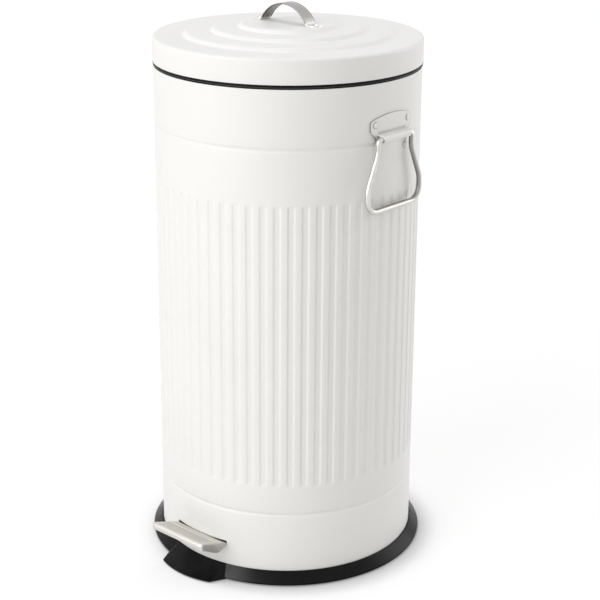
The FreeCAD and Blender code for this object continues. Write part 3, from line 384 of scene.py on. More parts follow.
# Shared effects as node groups
def effect(name, inputs, outputs):
    """An empty shader node group with named sockets, and its input and output nodes."""
    tree = bpy.data.node_groups.new(name, "ShaderNodeTree")
    for label, kind, value in inputs:
        tree.interface.new_socket(label, in_out="INPUT", socket_type=kind).default_value = value
    for label in outputs:
        tree.interface.new_socket(label, in_out="OUTPUT", socket_type="NodeSocketFloat")
    return tree, tree.nodes.new("NodeGroupInput"), tree.nodes.new("NodeGroupOutput")


def placed(tree, kind, **settings):
    """A node of one kind with its settings; a name with an underscore before it sets a plain
    property."""
    made = tree.nodes.new(kind)
    for label, value in settings.items():
        if label.startswith("_"):
            setattr(made, label[1:], value)
        else:
            made.inputs[label.replace("_", " ")].default_value = value
    return made


def sized_noise(tree, given, **settings):
    """Noise on Object coordinates whose scale is one over the group's size."""
    place = placed(tree, "ShaderNodeTexCoord")
    pitch = placed(tree, "ShaderNodeMath", _operation="DIVIDE")
    pitch.inputs[0].default_value = 1.0
    noise = placed(tree, "ShaderNodeTexNoise", **settings)
    tree.links.new(given.outputs["Size"], pitch.inputs[1])
    tree.links.new(place.outputs["Object"], noise.inputs["Vector"])
    tree.links.new(pitch.outputs["Value"], noise.inputs["Scale"])
    return noise.outputs["Fac"]


def fine_tooth_effect():
    """The small relief of a sprayed or moulded skin: noise with features of a given size."""
    tree, given, result = effect("fine tooth", [("Size", "NodeSocketFloat", 0.001)], ["Height"])
    noise = sized_noise(tree, given, Detail=2.0, Roughness=0.55)
    tree.links.new(noise, result.inputs["Height"])
    return tree


def brushed_lines_effect():
    """Lines of a brushed sheet: noise that is drawn out along one direction, fine lines over
    broader streaks."""
    tree, given, result = effect(
        "brushed lines", [("Pitch", "NodeSocketVector", (40.0, 2500.0, 40.0))],
        ["Lines", "Streaks"])
    place = placed(tree, "ShaderNodeTexCoord")
    drawn = placed(tree, "ShaderNodeVectorMath", _operation="MULTIPLY")
    fine = placed(tree, "ShaderNodeTexNoise", Scale=1.0, Detail=3.0, Roughness=0.65)
    broad = placed(tree, "ShaderNodeTexNoise", Scale=0.16, Detail=2.0, Roughness=0.5)
    tree.links.new(place.outputs["Object"], drawn.inputs[0])
    tree.links.new(given.outputs["Pitch"], drawn.inputs[1])
    for noise, label in ((fine, "Lines"), (broad, "Streaks")):
        tree.links.new(drawn.outputs["Vector"], noise.inputs["Vector"])
        tree.links.new(noise.outputs["Fac"], result.inputs[label])
    return tree


def handling_effect():
    """Faint uneven patches of handling and cleaning: slow noise with its middle range spread
    out."""
    tree, given, result = effect("handling", [("Size", "NodeSocketFloat", 0.09)], ["Marks"])
    noise = sized_noise(tree, given, Detail=5.0, Roughness=0.6, Distortion=0.4)
    spread = placed(tree, "ShaderNodeMapRange", _interpolation_type="SMOOTHSTEP",
                    From_Min=0.36, From_Max=0.66)
    tree.links.new(noise, spread.inputs["Value"])
    tree.links.new(spread.outputs["Result"], result.inputs["Marks"])
    return tree


FINE_TOOTH = fine_tooth_effect()
BRUSHED_LINES = brushed_lines_effect()
HANDLING = handling_effect()


class Finish:
    """One material: a Principled shader with its fixed values, and helpers that feed what varies
    over the surface."""

    def __init__(self, name, **fixed):
        self.material = bpy.data.materials.new(name)
        self.material.use_nodes = True
        self.tree = self.material.node_tree
        self.shader = self.tree.nodes["Principled BSDF"]
        for label, value in fixed.items():
            self.shader.inputs[label.replace("_", " ")].default_value = value

    def effect(self, tree, **given):
        """A shared effect with this finish's own values."""
        return placed(self.tree, "ShaderNodeGroup", _node_tree=tree, **given)

    def own_value(self, label):
        """A value that the piece itself carries on its points."""
        made = placed(self.tree, "ShaderNodeAttribute", _attribute_name=label)
        return made.outputs["Fac"]

    def ranged(self, source, low, high, start=0.0, end=1.0):
        """A value that runs from low to high while its source runs from start to end."""
        made = placed(self.tree, "ShaderNodeMapRange", From_Min=start, From_Max=end, To_Min=low,
                      To_Max=high)
        self.tree.links.new(source, made.inputs["Value"])
        return made.outputs["Result"]

    def tones(self, source, first, second):
        """A mix of two tones, each a colour or what another node puts out."""
        made = placed(self.tree, "ShaderNodeMix", _data_type="RGBA")
        self.tree.links.new(source, made.inputs["Factor"])
        for socket, value in ((made.inputs[6], first), (made.inputs[7], second)):
            if isinstance(value, tuple):
                socket.default_value = value + (1.0,)
            else:
                self.tree.links.new(value, socket)
        return made.outputs[2]

    def feed(self, source, label):
        """Feeds one socket of the shader."""
        self.tree.links.new(source, self.shader.inputs[label])

    def relief(self, source, depth, strength):
        """Feeds the shader's normal with a bump whose full height is depth in metres."""
        made = placed(self.tree, "ShaderNodeBump", Distance=depth, Strength=strength)
        self.tree.links.new(source, made.inputs["Height"])
        self.feed(made.outputs["Normal"], "Normal")

    def skin(self, size, depth, strength):
        """A relief of fine tooth with features of one size."""
        self.relief(self.effect(FINE_TOOTH, Size=size).outputs["Height"], depth, strength)


def white_paint(name, deep=None):
    """Satin white powder coat: a fine orange-peel skin, faint patches, and a deep tone where the
    piece's own value is 1: painted shade in recesses, creases and gaps."""
    made = Finish(name, Specular_IOR_Level=0.42)
    marks = made.effect(HANDLING, Size=0.11).outputs["Marks"]
    tone = made.tones(marks, (0.872, 0.866, 0.850), (0.888, 0.882, 0.866))
    if deep:
        tone = made.tones(made.own_value("pressed"), tone, deep)
    made.feed(tone, "Base Color")
    made.feed(made.ranged(marks, 0.36, 0.46), "Roughness")
    made.skin(0.0011, depth=0.00006, strength=0.28)
    return made.material


def brushed_steel(name, pitch, dark, light):
    """Brushed stainless sheet: fine lines in tone, gloss and relief over broader streaks from dark
    to light, a dark tone where its own value says so, which is painted shade, and a bright one
    where another says so: polished rivet heads, and painted highlight on the strap's tabs."""
    made = Finish(name, Metallic=1.0)
    lines = made.effect(BRUSHED_LINES, Pitch=pitch)
    tone = made.tones(made.ranged(lines.outputs["Streaks"], 0.0, 1.0, 0.3, 0.7), dark, light)
    tone = made.tones(made.ranged(lines.outputs["Lines"], 0.0, 0.7, 0.35, 0.75), tone, dark)
    tone = made.tones(made.own_value("polish"), tone, (0.85, 0.845, 0.83))
    tone = made.tones(made.own_value("dull"), tone, (0.10, 0.096, 0.09))
    made.feed(tone, "Base Color")
    made.feed(made.ranged(lines.outputs["Lines"], 0.26, 0.46, 0.25, 0.75), "Roughness")
    made.relief(lines.outputs["Lines"], depth=0.00003, strength=0.35)
    return made.material


def bright_steel(name):
    """Plated wire: bright, with faint patches of handling, and darker where its own value says so,
    which is painted shade."""
    made = Finish(name, Metallic=1.0)
    marks = made.effect(HANDLING, Size=0.018).outputs["Marks"]
    tone = made.tones(marks, (0.62, 0.605, 0.575), (0.70, 0.687, 0.66))
    tone = made.tones(made.own_value("dull"), tone, (0.31, 0.298, 0.278))
    made.feed(tone, "Base Color")
    made.feed(made.ranged(marks, 0.3, 0.4), "Roughness")
    made.skin(0.0007, depth=0.00003, strength=0.15)
    return made.material


def zinc_steel(name):
    """Zinc plated steel of the linkage: cool grey with a small spangle."""
    made = Finish(name, Metallic=1.0)
    place = made.tree.nodes.new("ShaderNodeTexCoord")
    spangle = placed(made.tree, "ShaderNodeTexVoronoi", Scale=260.0)
    made.tree.links.new(place.outputs["Object"], spangle.inputs["Vector"])
    marks = made.effect(HANDLING, Size=0.03).outputs["Marks"]
    tone = made.tones(spangle.outputs["Color"], (0.50, 0.51, 0.52), (0.63, 0.635, 0.64))
    made.feed(made.tones(marks, tone, (0.47, 0.475, 0.48)), "Base Color")
    made.feed(made.ranged(marks, 0.34, 0.5), "Roughness")
    made.skin(0.0016, depth=0.00004, strength=0.2)
    return made.material


def moulded(name, tone, lighter, grain, rough, gloss, rubbed=None):
    """A moulded skin: fine grain in relief, patches that shine a little more where it is handled,
    and a paler tone where its own value says so, which is painted sheen."""
    made = Finish(name, Specular_IOR_Level=gloss)
    marks = made.effect(HANDLING, Size=0.05).outputs["Marks"]
    tone = made.tones(marks, tone, lighter)
    if rubbed:
        tone = made.tones(made.own_value("rubbed"), tone, rubbed)
    made.feed(tone, "Base Color")
    made.feed(made.ranged(marks, *rough), "Roughness")
    made.skin(grain, depth=0.0001, strength=0.3)
    return made.material


BLACK_SKIN = {"grain": 0.0006, "rough": (0.24, 0.34), "gloss": 0.10}
WHITE = white_paint("white_paint")
# Painted shade: the body wall is darker deeper in its flutes and beads
WHITE_RECESS_SHADED = white_paint("white_paint_pressed", (0.862, 0.855, 0.839))
# Painted shade: dark lines round the brackets, over their barrels and round the rivet heads
WHITE_GAP_SHADED = white_paint("white_paint_gap_shade", (0.17, 0.165, 0.157))
STRAP_STEEL = brushed_steel("brushed_steel_strap", (30.0, 2000.0, 30.0),
                            (0.27, 0.26, 0.245), (0.62, 0.61, 0.585))
TREAD_STEEL = brushed_steel("brushed_steel_tread", (30.0, 2600.0, 2600.0),
                            (0.64, 0.62, 0.575), (0.80, 0.78, 0.735))
BRIGHT = bright_steel("bright_steel")
ZINC = zinc_steel("zinc_steel")
BLACK = moulded("black_plastic", (0.003, 0.003, 0.0033), (0.012, 0.012, 0.0125), **BLACK_SKIN)
# Painted sheen: a paler tone on the rim's top edge and on the ring beside the toe
BLACK_SHEENED = moulded("black_plastic_rubbed", (0.004, 0.004, 0.0043), (0.006, 0.006, 0.0064),
                       **BLACK_SKIN, rubbed=(0.085, 0.085, 0.087))
RUBBER = moulded("black_rubber", (0.004, 0.004, 0.004), (0.006, 0.006, 0.006),
                 grain=0.0008, rough=(0.5, 0.62), gloss=0.12)
GREY = moulded("grey_plastic", (0.115, 0.115, 0.118), (0.135, 0.135, 0.138),
               grain=0.0008, rough=(0.4, 0.52), gloss=0.4)

# The CAD nodes that stay as they are, by finish
KEPT = ((ZINC, ("base_plate", "base_screws", "hinge_pin", "hinge_screws", "pivot_bracket",
                "pivot_pin", "pivot_clip", "pedal_lever", "push_rod", "bucket_bail")),
        (WHITE, ("lid_hinge_arm", "lid_hinge_rivets")),
        (BLACK, ("rod_guides", "bucket_bail_grip")),
        (RUBBER, ("foot_pads",)),
        (GREY, ("bucket",)))
for finish, labels in KEPT:
    for label in labels:
        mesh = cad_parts[label].data
        mesh.materials.clear()
        mesh.materials.append(finish)


def body_wall():
    """The sheet body as radius over turn and height: the body radius less a raised cosine for each
    bead, and less the flute depth times an eased flank round the pitch times an eased run-out at
    the flute ends."""
    pitch = 2 * math.pi / FLUTES
    flank = FLUTE_FLANK / BODY_RADIUS / pitch
    flank_rows = np.array([0.0, 0.14, 0.32, 0.5, 0.68, 0.86, 1.0])
    side = FLUTE_FLOOR_SHARE / 2 - flank / 2 + flank * flank_rows
    offsets = np.concatenate([[-0.5], -side[::-1], [0.0], side])
    turn = ((np.arange(FLUTES)[:, None] + 0.5 + offsets) * pitch).ravel() - math.pi / 2
    flute = np.tile(1 - eased((np.abs(offsets) - side[0]) / flank), FLUTES)
    bead = np.linspace(-BEAD_HALF, BEAD_HALF, 11)
    run = np.linspace(-FLUTE_RUN_OUT / 2, FLUTE_RUN_OUT / 2, 7)
    height = np.concatenate([
        [SHELL_FOOT, SLOT_FOOT, 32.0, SLIT_FOOT, SLIT_TOP, 60.0], BEAD_HEIGHTS[0] + bead, [104.0],
        FLUTE_LOW + run, [230.0, 340.0], FLUTE_HIGH + run, [476.0], BEAD_HEIGHTS[1] + bead,
        [530.0, CRANK_SLOT_FOOT, SHELL_TOP]])
    along = height[:, None]
    dip = sum(raised_cosine(along - middle, BEAD_HALF) for middle in BEAD_HEIGHTS)
    ends = (eased((along - FLUTE_LOW) / FLUTE_RUN_OUT + 0.5)
            * eased((FLUTE_HIGH - along) / FLUTE_RUN_OUT + 0.5))
    radius = BODY_RADIUS - BEAD_DEPTH * dip - FLUTE_DEPTH * ends * flute
    # The columns nearest to the edges of the openings are moved onto them in the plain rows
    turns = turn + 0 * along
    columns = np.arange(len(turn))
    keep = np.ones((len(height) - 1, len(turn)), bool)
    below = height < FLUTE_LOW - FLUTE_RUN_OUT
    above = height > FLUTE_HIGH + FLUTE_RUN_OUT
    for middle, half, rows, low, high in (
            (-math.pi / 2, SLOT_HALF, below, SLOT_FOOT, SLIT_FOOT),
            (-math.pi / 2, SLIT_HALF, below, SLIT_FOOT, SLIT_TOP),
            (math.pi / 2, CRANK_SLOT_HALF, above, CRANK_SLOT_FOOT, SHELL_TOP)):
        goals = middle + np.array([-1, 1]) * math.asin(half / BODY_RADIUS)
        gaps = np.abs(np.angle(np.exp(1j * (turn[None] - goals[:, None]))))
        first, last = np.argmin(gaps, axis=1)
        turns[np.ix_(rows, [first, last])] = goals
        past_first, before_last = columns >= first, columns < last
        span = past_first & before_last if first < last else past_first | before_last
        keep[np.ix_((height[:-1] >= low) & (height[1:] <= high), span)] = False
    points = np.stack([radius * np.cos(turns), radius * np.sin(turns), along + 0 * turns], axis=-1)

    # Painted shade: darker the deeper the sheet lies in a flute or bead
    def pressed(x, y, z):
        return np.clip((BODY_RADIUS - np.hypot(x, y)) / BEAD_DEPTH, 0, 1)
    piece("body_wall", grid(points, wrap_columns=True, keep=keep), "bin",
          WHITE_RECESS_SHADED, ["body_shell"], crease=60.0, wall=SHEET, solid=False,
          values={"pressed": pressed})


def lid_sheet():
    """The lid's outer line: the top is the lid height plus one eased rise per step, seen over the
    radius, then a quarter circle and the skirt. The inner line is the outer one moved by the sheet
    along its normal, and the two are turned round the axis as one closed line."""
    ramp = np.linspace(-STEP_RUN / 2, STEP_RUN / 2, 13)
    radius = np.concatenate([[0.0, 20.0, 40.0]] + [middle + ramp for middle in LID_STEPS[::-1]]
                            + [np.linspace(LID_BRIM, LID_RADIUS - LID_EDGE, 3)])
    steps = sum(1 - eased((radius - middle) / STEP_RUN + 0.5) for middle in LID_STEPS)
    turn = np.linspace(0, math.pi / 2, 11)[1:]
    edge = np.stack([LID_RADIUS - LID_EDGE + LID_EDGE * np.sin(turn),
                     LID_TOP - LID_EDGE + LID_EDGE * np.cos(turn)], -1)
    hem = np.array([[LID_RADIUS, LID_SKIRT_ROW], [LID_RADIUS, LID_FOOT + 0.5],
                    [LID_RADIUS - 0.15, LID_FOOT + 0.12]])
    outer = np.concatenate([np.stack([radius, LID_TOP + STEP_RISE * steps], -1), edge, hem])
    inner = np.maximum(outer + SHEET * normals(outer), [0.0, LID_FOOT])
    profile = np.concatenate([outer, inner[::-1]])
    piece("lid_sheet", turned(profile), "lid", WHITE, ["lid_shell"])


def rim_and_seal():
    """The two black rings between body and lid: closed outlines with small arcs, turned round the
    axis. The rim is open at the rear notch."""
    ledge_foot = LEDGE_TOP - LEDGE_WALL
    skirt_inside = RIM_SKIRT - RIM_WALL
    rim = rounded_loop([
        (RIM_RADIUS, SHELL_TOP), (RIM_RADIUS, RIM_TOP), (SEAT_RADIUS, RIM_TOP),
        (SEAT_RADIUS, LEDGE_TOP), (LEDGE_INSIDE, LEDGE_TOP), (LEDGE_INSIDE, ledge_foot),
        (skirt_inside, ledge_foot), (skirt_inside, RIM_FOOT), (RIM_SKIRT, RIM_FOOT),
        (RIM_SKIRT, SHELL_TOP)], [0.3, 0.9, 0.6, 0.3, 0.6, 0.6, 0.4, 0.4, 0.4, 0.05])
    half = math.asin(NOTCH_HALF / RIM_SKIRT)
    ring = turned(rim, start=math.pi / 2 + half, sweep=2 * math.pi - 2 * half)

    # Painted highlight: a paler tone along the top of the rim's outer face
    def rubbed(x, y, z):
        outside = np.hypot(x, y) > RIM_RADIUS - RIM_EDGE_WIDE
        return outside * eased((z - RIM_TOP + RIM_EDGE_TALL) / RIM_EDGE_FADE)
    piece("body_rim_ring", ring, "bin", BLACK_SHEENED, ["body_rim"],
          values={"rubbed": rubbed})
    seal_outside = LID_RADIUS - SEAL_INSET
    in_skirt = LID_RADIUS - SHEET - SEAL_PLAY
    seal = rounded_loop([
        (SEAL_INSIDE, SEAL_FOOT), (seal_outside, SEAL_FOOT), (seal_outside, SEAL_TOP),
        (in_skirt, SEAL_TOP), (in_skirt, SEAL_UPSTAND), (SEAL_INSIDE, SEAL_UPSTAND)],
        [0.4, 0.9, 0.5, 0.05, 0.4, 0.4])
    piece("lid_seal_ring", turned(seal), "lid", RUBBER, ["lid_seal"])


def base_ring():
    """The moulded ring: a sloping outline with small arcs, turned round the axis. It has a painted
    sheen on one side of the toe, less and less as the turn away from the toe grows."""
    outline = rounded_loop([
        (RING_INSIDE, FLOOR_GAP), (RING_RADIUS, FLOOR_GAP),
        (RING_RADIUS, FLOOR_GAP + RING_FOOT_EDGE), (RING_BORE + RING_LIP, RING_TOP),
        (RING_BORE, RING_TOP), (RING_BORE, SHELL_FOOT), (RING_INSIDE, SHELL_FOOT)],
        [0.4, 0.9, 0.8, 0.7, 0.3, 0.1, 0.4])

    def rubbed(x, y, z):
        turn = np.degrees(np.arctan2(x, -y))
        return SHEEN_TONE * (x > 0) * eased((SHEEN_END - turn) / SHEEN_FADE)
    piece("base_ring_moulding", turned(outline), "bin", BLACK_SHEENED,
          ["base_ring"], values={"rubbed": rubbed})


def toe():
    """The toe: an outline of straight sides and a bowed front at the floor, and one along the
    ring's lip at the top, with straight lines between the two. Near the floor the outline draws in
    along a small quarter circle."""
    lip = RING_BORE + RING_LIP
    top_corner = math.sqrt(lip * lip - TOE_HALF * TOE_HALF)
    across = TOE_HALF * np.linspace(-1, 1, 41)
    bulge = TOE_FRONT - TOE_CORNER
    bow = (TOE_HALF ** 2 + bulge ** 2) / (2 * bulge)
    low_front = np.stack([across, TOE_FRONT - bow + np.sqrt(bow ** 2 - across ** 2)], -1)
    high_front = np.stack([across, np.sqrt(lip ** 2 - across ** 2)], -1)
    low_side = np.linspace((-TOE_ROOT_HALF, BODY_RADIUS), (-TOE_HALF, TOE_CORNER), 7)[:-1]
    high_corner = np.array([-TOE_HALF, top_corner])
    high_side = np.linspace(high_corner - RING_LIP, high_corner, 7)[:-1]
    mirror = np.array([-1.0, 1.0])
    low = np.concatenate([low_side, low_front, (low_side * mirror)[::-1]])
    high = np.concatenate([high_side, high_front, (high_side * mirror)[::-1]])
    level = np.concatenate([np.linspace(0, TOE_DRAWN, 5), np.linspace(TOE_DRAWN, TOE_LIP, 6)[1:],
                            np.linspace(TOE_LIP, 1, 4)[1:]])[:, None, None]
    outline = low * (1 - level) + high * level
    draw = 1.0 - np.sqrt(1 - np.clip(1 - level / TOE_DRAWN, 0, 1) ** 2 * 0.999)
    away = outline - np.array([0.0, BODY_RADIUS])
    outline = outline - draw * away / np.linalg.norm(away, axis=-1, keepdims=True)
    height = 0 * outline[..., :1] + FLOOR_GAP + level * (RING_TOP - FLOOR_GAP)
    points = np.concatenate([outline[..., :1], -outline[..., 1:], height], axis=-1)
    vertices, faces = grid(points)
    columns = len(low)
    starts = [row * columns for row in range(len(level))]
    back = starts + [start + columns - 1 for start in reversed(starts)]
    faces += end_faces(vertices, columns) + [back]
    piece("base_toe", (vertices, faces), "bin", BLACK)


def hinge_cover():
    """The hinge housing: an outline from the wall's foot round the back and over the knuckle to
    the wall again, carried along the pin. Where it meets the body, its depth is the square root of
    the wall's radius squared less the distance along the pin squared. Both ends draw in along a
    quarter circle, and in the middle the knuckle gives way to the floor of the fork."""
    shoulder = np.array([HINGE_BACK, HINGE_SHOULDER])
    edge = np.array([HINGE_Y + HINGE_BOSS, RIM_TOP])
    cut = shoulder + (edge - shoulder) * (HINGE_BACK - FORK_BACK) / (HINGE_BACK - edge[0])
    back = rounded([(HINGE_WALL, HINGE_FOOT), (HINGE_BACK, HINGE_FOOT), shoulder, cut],
                   [HINGE_ROUND, HINGE_ROUND])
    turn = np.linspace(0, math.pi, 17)
    knuckle = np.stack([HINGE_Y + HINGE_BOSS * np.cos(turn),
                        RIM_TOP + HINGE_BOSS * np.sin(turn)], -1)
    tail = np.array([[HINGE_Y - HINGE_BOSS, HINGE_STEP], [HINGE_WALL, HINGE_STEP]])
    whole = np.concatenate([back, knuckle, tail])
    forked = whole.copy()
    forked[len(back):, 1] = FORK_FLOOR
    forked[len(back), 0] = FORK_BACK
    bend = np.linspace(0, math.pi / 2, 7)
    straight_half = HINGE_HALF - HINGE_EDGE
    inner = np.concatenate([np.linspace(0, FORK_HALF - FORK_STEP, 4),
                            np.linspace(FORK_HALF, straight_half, 6)[:-1]])
    across = np.concatenate([inner, straight_half + HINGE_EDGE * np.sin(bend)])
    draw = np.concatenate([0 * inner, HINGE_EDGE * (1 - np.cos(bend))])
    across = np.concatenate([-across[:0:-1], across])
    draw = np.concatenate([draw[:0:-1], draw])
    in_fork = np.abs(across) < FORK_HALF - FORK_STEP / 2
    outline = np.where(in_fork[:, None, None], forked, whole)
    outline = outline - draw[:, None, None] * normals(whole)
    on_wall = np.zeros(len(whole))
    on_wall[[0, -1]] = 1.0
    hollow = np.sqrt(HINGE_WALL ** 2 - across[:, None] ** 2) - HINGE_WALL
    depth = outline[..., 0] + hollow * on_wall
    points = np.stack([across[:, None] + 0 * depth, depth, outline[..., 1]], -1)
    vertices, faces = grid(points, wrap_columns=True)
    piece("hinge_cover", (vertices, faces + end_faces(vertices, len(whole))), "bin",
          BLACK, ["hinge_housing"])


def strap():
    """The strap: a flat rounded section carried along tabs, foot bends and one large arc. The arc's
    radius makes it meet the bends without a corner. The section narrows as a half circle towards
    the end of each tab. Painted shade darkens it along its borders and on its under side, and
    painted highlight brightens its tabs and the feet of its bends."""
    rise = STRAP_HEIGHT - STRAP_BEND
    radius = (STRAP_FOOT ** 2 + rise ** 2 - STRAP_BEND ** 2) / (2 * STRAP_HEIGHT)
    middle = DOME_TOP + STRAP_WALL / 2
    centre = middle + STRAP_HEIGHT - radius
    meet = math.atan2(middle + STRAP_BEND - centre, STRAP_FOOT)
    tab_turn = np.linspace(0.08, math.pi / 2, 12)
    tab = np.concatenate([STRAP_END - STRAP_HALF * (1 - np.cos(tab_turn)), [STRAP_FOOT + 1.2]])
    tab = np.stack([tab, 0 * tab + middle], -1)
    bend_turn = np.linspace(0, math.pi / 2 - meet, 9)
    bend = np.stack([STRAP_FOOT - STRAP_BEND * np.sin(bend_turn),
                     middle + STRAP_BEND * (1 - np.cos(bend_turn))], -1)
    arc_turn = np.linspace(meet, math.pi / 2, 25)[1:]
    arc = np.stack([radius * np.cos(arc_turn), centre + radius * np.sin(arc_turn)], -1)
    half = np.concatenate([tab, bend, arc])
    line = np.concatenate([half, (half * np.array([-1.0, 1.0]))[::-1][1:]])
    path = np.stack([line[:, 0], 0 * line[:, 0], line[:, 1]], -1)
    end = np.clip((np.abs(line[:, 0]) - (STRAP_END - STRAP_HALF)) / STRAP_HALF, 0, 1)
    flat = STRAP_WALL / 2
    section = divided(rounded_loop([(-STRAP_HALF, -flat), (STRAP_HALF, -flat), (STRAP_HALF, flat),
                                    (-STRAP_HALF, flat)], [STRAP_ARC] * 4), 1.0)

    # Painted shade along the borders and on the under side of the arch
    def dull(x, y, z):
        border = eased((np.abs(y) / STRAP_HALF - 0.62) / 0.3)
        under = np.hypot(x, z - centre) < radius
        return (z > middle + 2) * np.where(
            under, STRAP_UNDER_SHADE + STRAP_UNDER_EDGE_SHADE * border, STRAP_EDGE_SHADE * border)

    # Painted highlight: brighter on the tabs and the feet of the bends
    def polish(x, y, z):
        return 1 - eased((z - middle) / 3)
    piece("lid_strap", carried(path, section, (0, 1, 0), np.sqrt(1 - end ** 2)), "lid",
          STRAP_STEEL, ["lid_handle"], values={"dull": dull, "polish": polish})


def rivet(grip):
    """A domed rivet on the z axis: a cap of a sphere over a short rim, a shank through the grip
    and a round tail."""
    crown = RIVET_DOME * 3 / 4
    ball = (RIVET_HEAD ** 2 + crown ** 2) / (2 * crown)
    turn = np.linspace(0, math.asin(RIVET_HEAD / ball), 9)
    dome = np.stack([ball * np.sin(turn), RIVET_DOME - ball + ball * np.cos(turn)], -1)
    shank = [(RIVET_HEAD - 0.1, 0.0), (RIVET_SHANK, 0.0), (RIVET_SHANK, -grip),
             (RIVET_HEAD - 0.4, -grip), (RIVET_HEAD - 0.6, -grip - RIVET_TAIL),
             (0.0, -grip - RIVET_TAIL)]
    return turned(np.concatenate([dome, shank]), RIVET_COLUMNS)


def strap_rivets():
    """The two rivets of the strap, upright on its tabs, with polished heads."""
    tab_top = DOME_TOP + STRAP_WALL
    parts = [moved(rivet(STRAP_WALL + SHEET), (side * STRAP_RIVET, 0, tab_top), (0, 0, 1))
             for side in (-1, 1)]

    def polish(x, y, z):
        return RIVET_POLISH * eased((z - tab_top) / RIVET_SHADE_FADE)
    piece("lid_strap_rivets", joined(parts), "lid", STRAP_STEEL,
          ["lid_handle_rivets"], values={"polish": polish})


def plate_half(rise):
    """Half the width of a bracket's plate over the height above its barrel: a tab with round
    corners, a waist, straight shoulders and a crown arc, with the corners between them softened by
    averaging."""
    fine = np.linspace(PLATE_FOOT, PLATE_CREST, 1200)
    corner = TAB_CORNER - np.clip(fine - PLATE_FOOT, 0, TAB_CORNER)
    tab = PLATE_WAIST - TAB_CORNER + np.sqrt(TAB_CORNER ** 2 - corner ** 2)
    waist = PLATE_WAIST + (PLATE_SHOULDER - PLATE_WAIST) * np.clip(fine / SHOULDER_RISE, 0, 1)
    above_centre = fine - PLATE_CREST + CROWN_RADIUS
    crown = np.sqrt(np.clip(CROWN_RADIUS ** 2 - above_centre ** 2, 0, None))
    width = np.minimum(np.where(fine < 0, tab, waist), crown)
    near = 40
    window = np.ones(2 * near + 1) / (2 * near + 1)
    soft = np.convolve(np.pad(width, near, mode="edge"), window, mode="valid")
    width = np.where((fine > PLATE_SOFT_FROM) & (fine < PLATE_SOFT_TO), soft, width)
    return np.interp(rise, fine, width)


def bracket(side, name):
    """A carrying-handle bracket as distance from the axis over width and height: the plate lies on
    the body, and a round barrel over the wire stands out of it, the larger of the two with an eased
    fillet. Painted shade darkens it along the border, in the crease over the barrel and at the
    barrel's ends."""
    foot_turn = np.linspace(0, math.pi / 2, 7)
    rise = np.concatenate([
        PLATE_FOOT + TAB_CORNER * (1 - np.cos(foot_turn)), [-11.0, -8.5],
        np.linspace(-BARREL_REACH, BARREL_REACH, 31), [8.5, 10.0, 13.0, 16.0, 18.0, 19.0, 20.0],
        PLATE_CREST - CROWN_RISE * np.linspace(0.95, 0.04, 9) ** 2])
    half = plate_half(rise)[:, None]
    inner = np.minimum(BARREL_HALF, 0.85 * half)
    share = np.concatenate([np.linspace(0, BARREL_SHARE, 15), [BARREL_SHARE + BARREL_STEP],
                            np.linspace(0.83, 0.96, 5), [0.99, 1.0]])
    beyond = (share - BARREL_SHARE) / (1 - BARREL_SHARE)
    across = np.where(share <= BARREL_SHARE, share / BARREL_SHARE * inner,
                      inner + beyond * (half - inner))
    across = np.concatenate([-across[:, :0:-1], across], axis=1)
    share = np.concatenate([share[:0:-1], share])
    along = rise[:, None]
    plate = np.sqrt((BODY_RADIUS + BRACKET_WALL) ** 2 - across ** 2)
    barrel = (BAIL_X + np.sqrt(np.clip(BARREL_RADIUS ** 2 - along ** 2, 0, None))
              - BARREL_FALL * np.clip(np.abs(along) - BARREL_SIDE, 0, None))
    blend = np.clip(0.5 + (barrel - plate) / (2 * BARREL_FILLET), 0, 1)
    ridge = plate * (1 - blend) + barrel * blend + BARREL_FILLET * blend * (1 - blend)
    inside = share <= BARREL_SHARE + BARREL_STEP / 2
    out = np.where(inside & (np.abs(along) < BARREL_REACH + 0.1), ridge, plate)
    points = np.stack([side * out, side * across, HANDLE_Z + along + 0 * across], axis=-1)
    at_end = inside[:-1] != inside[1:]
    tall = np.abs(rise[:-1] + rise[1:]) / 2 < BARREL_OPEN
    keep = ~(tall[:, None] & at_end)
    border = np.abs(across) > 0.9999 * half
    border[-1] = True
    # Painted shade: dark along the plate's border, in the crease over the barrel and at the
    # barrel's ends
    crease = CREASE_TONE * np.exp(-((along - CREASE_RISE) / CREASE_WIDE) ** 2) * inside
    neck = np.exp((np.abs(across) - half) / NECK_WIDE - ((along - NECK_RISE) / NECK_TALL) ** 2)
    shade_share = np.where(border, eased((along + 8) / 6), np.maximum(crease, neck)).ravel()
    piece(name + "_bracket_plate", grid(points, keep=keep), "bin", WHITE_GAP_SHADED,
          [name + "_handle_bracket"], crease=50.0, wall=BRACKET_WALL, solid=False,
          values={"pressed": lambda x, y, z: shade_share})


def bail(side, name):
    """A wire bail: a circle carried along straight runs with an arc at each bend, in a plane
    through the barrel. It has painted shade on the inner side of the loop."""
    loop = np.array(BAIL_LINE + [(-across, rise) for across, rise in reversed(BAIL_LINE)])
    corners = np.stack([0 * loop[:, 0] + side * BAIL_X, loop[:, 0], HANDLE_Z + loop[:, 1]], -1)
    path = rounded(corners, BAIL_BENDS + BAIL_BENDS[::-1], steps=14)
    section = circle(BAIL_WIRE, WIRE_COLUMNS)
    # Painted shade on the inner side of the wire's loop
    inner = np.tile(eased(-section[:, 1] / BAIL_WIRE / WIRE_SHADE_SHARE), len(path))
    piece(name + "_bail_wire", carried(path, section, (1, 0, 0)), name + "_handle",
          BRIGHT, [name + "_bail"], values={"dull": lambda x, y, z: inner})


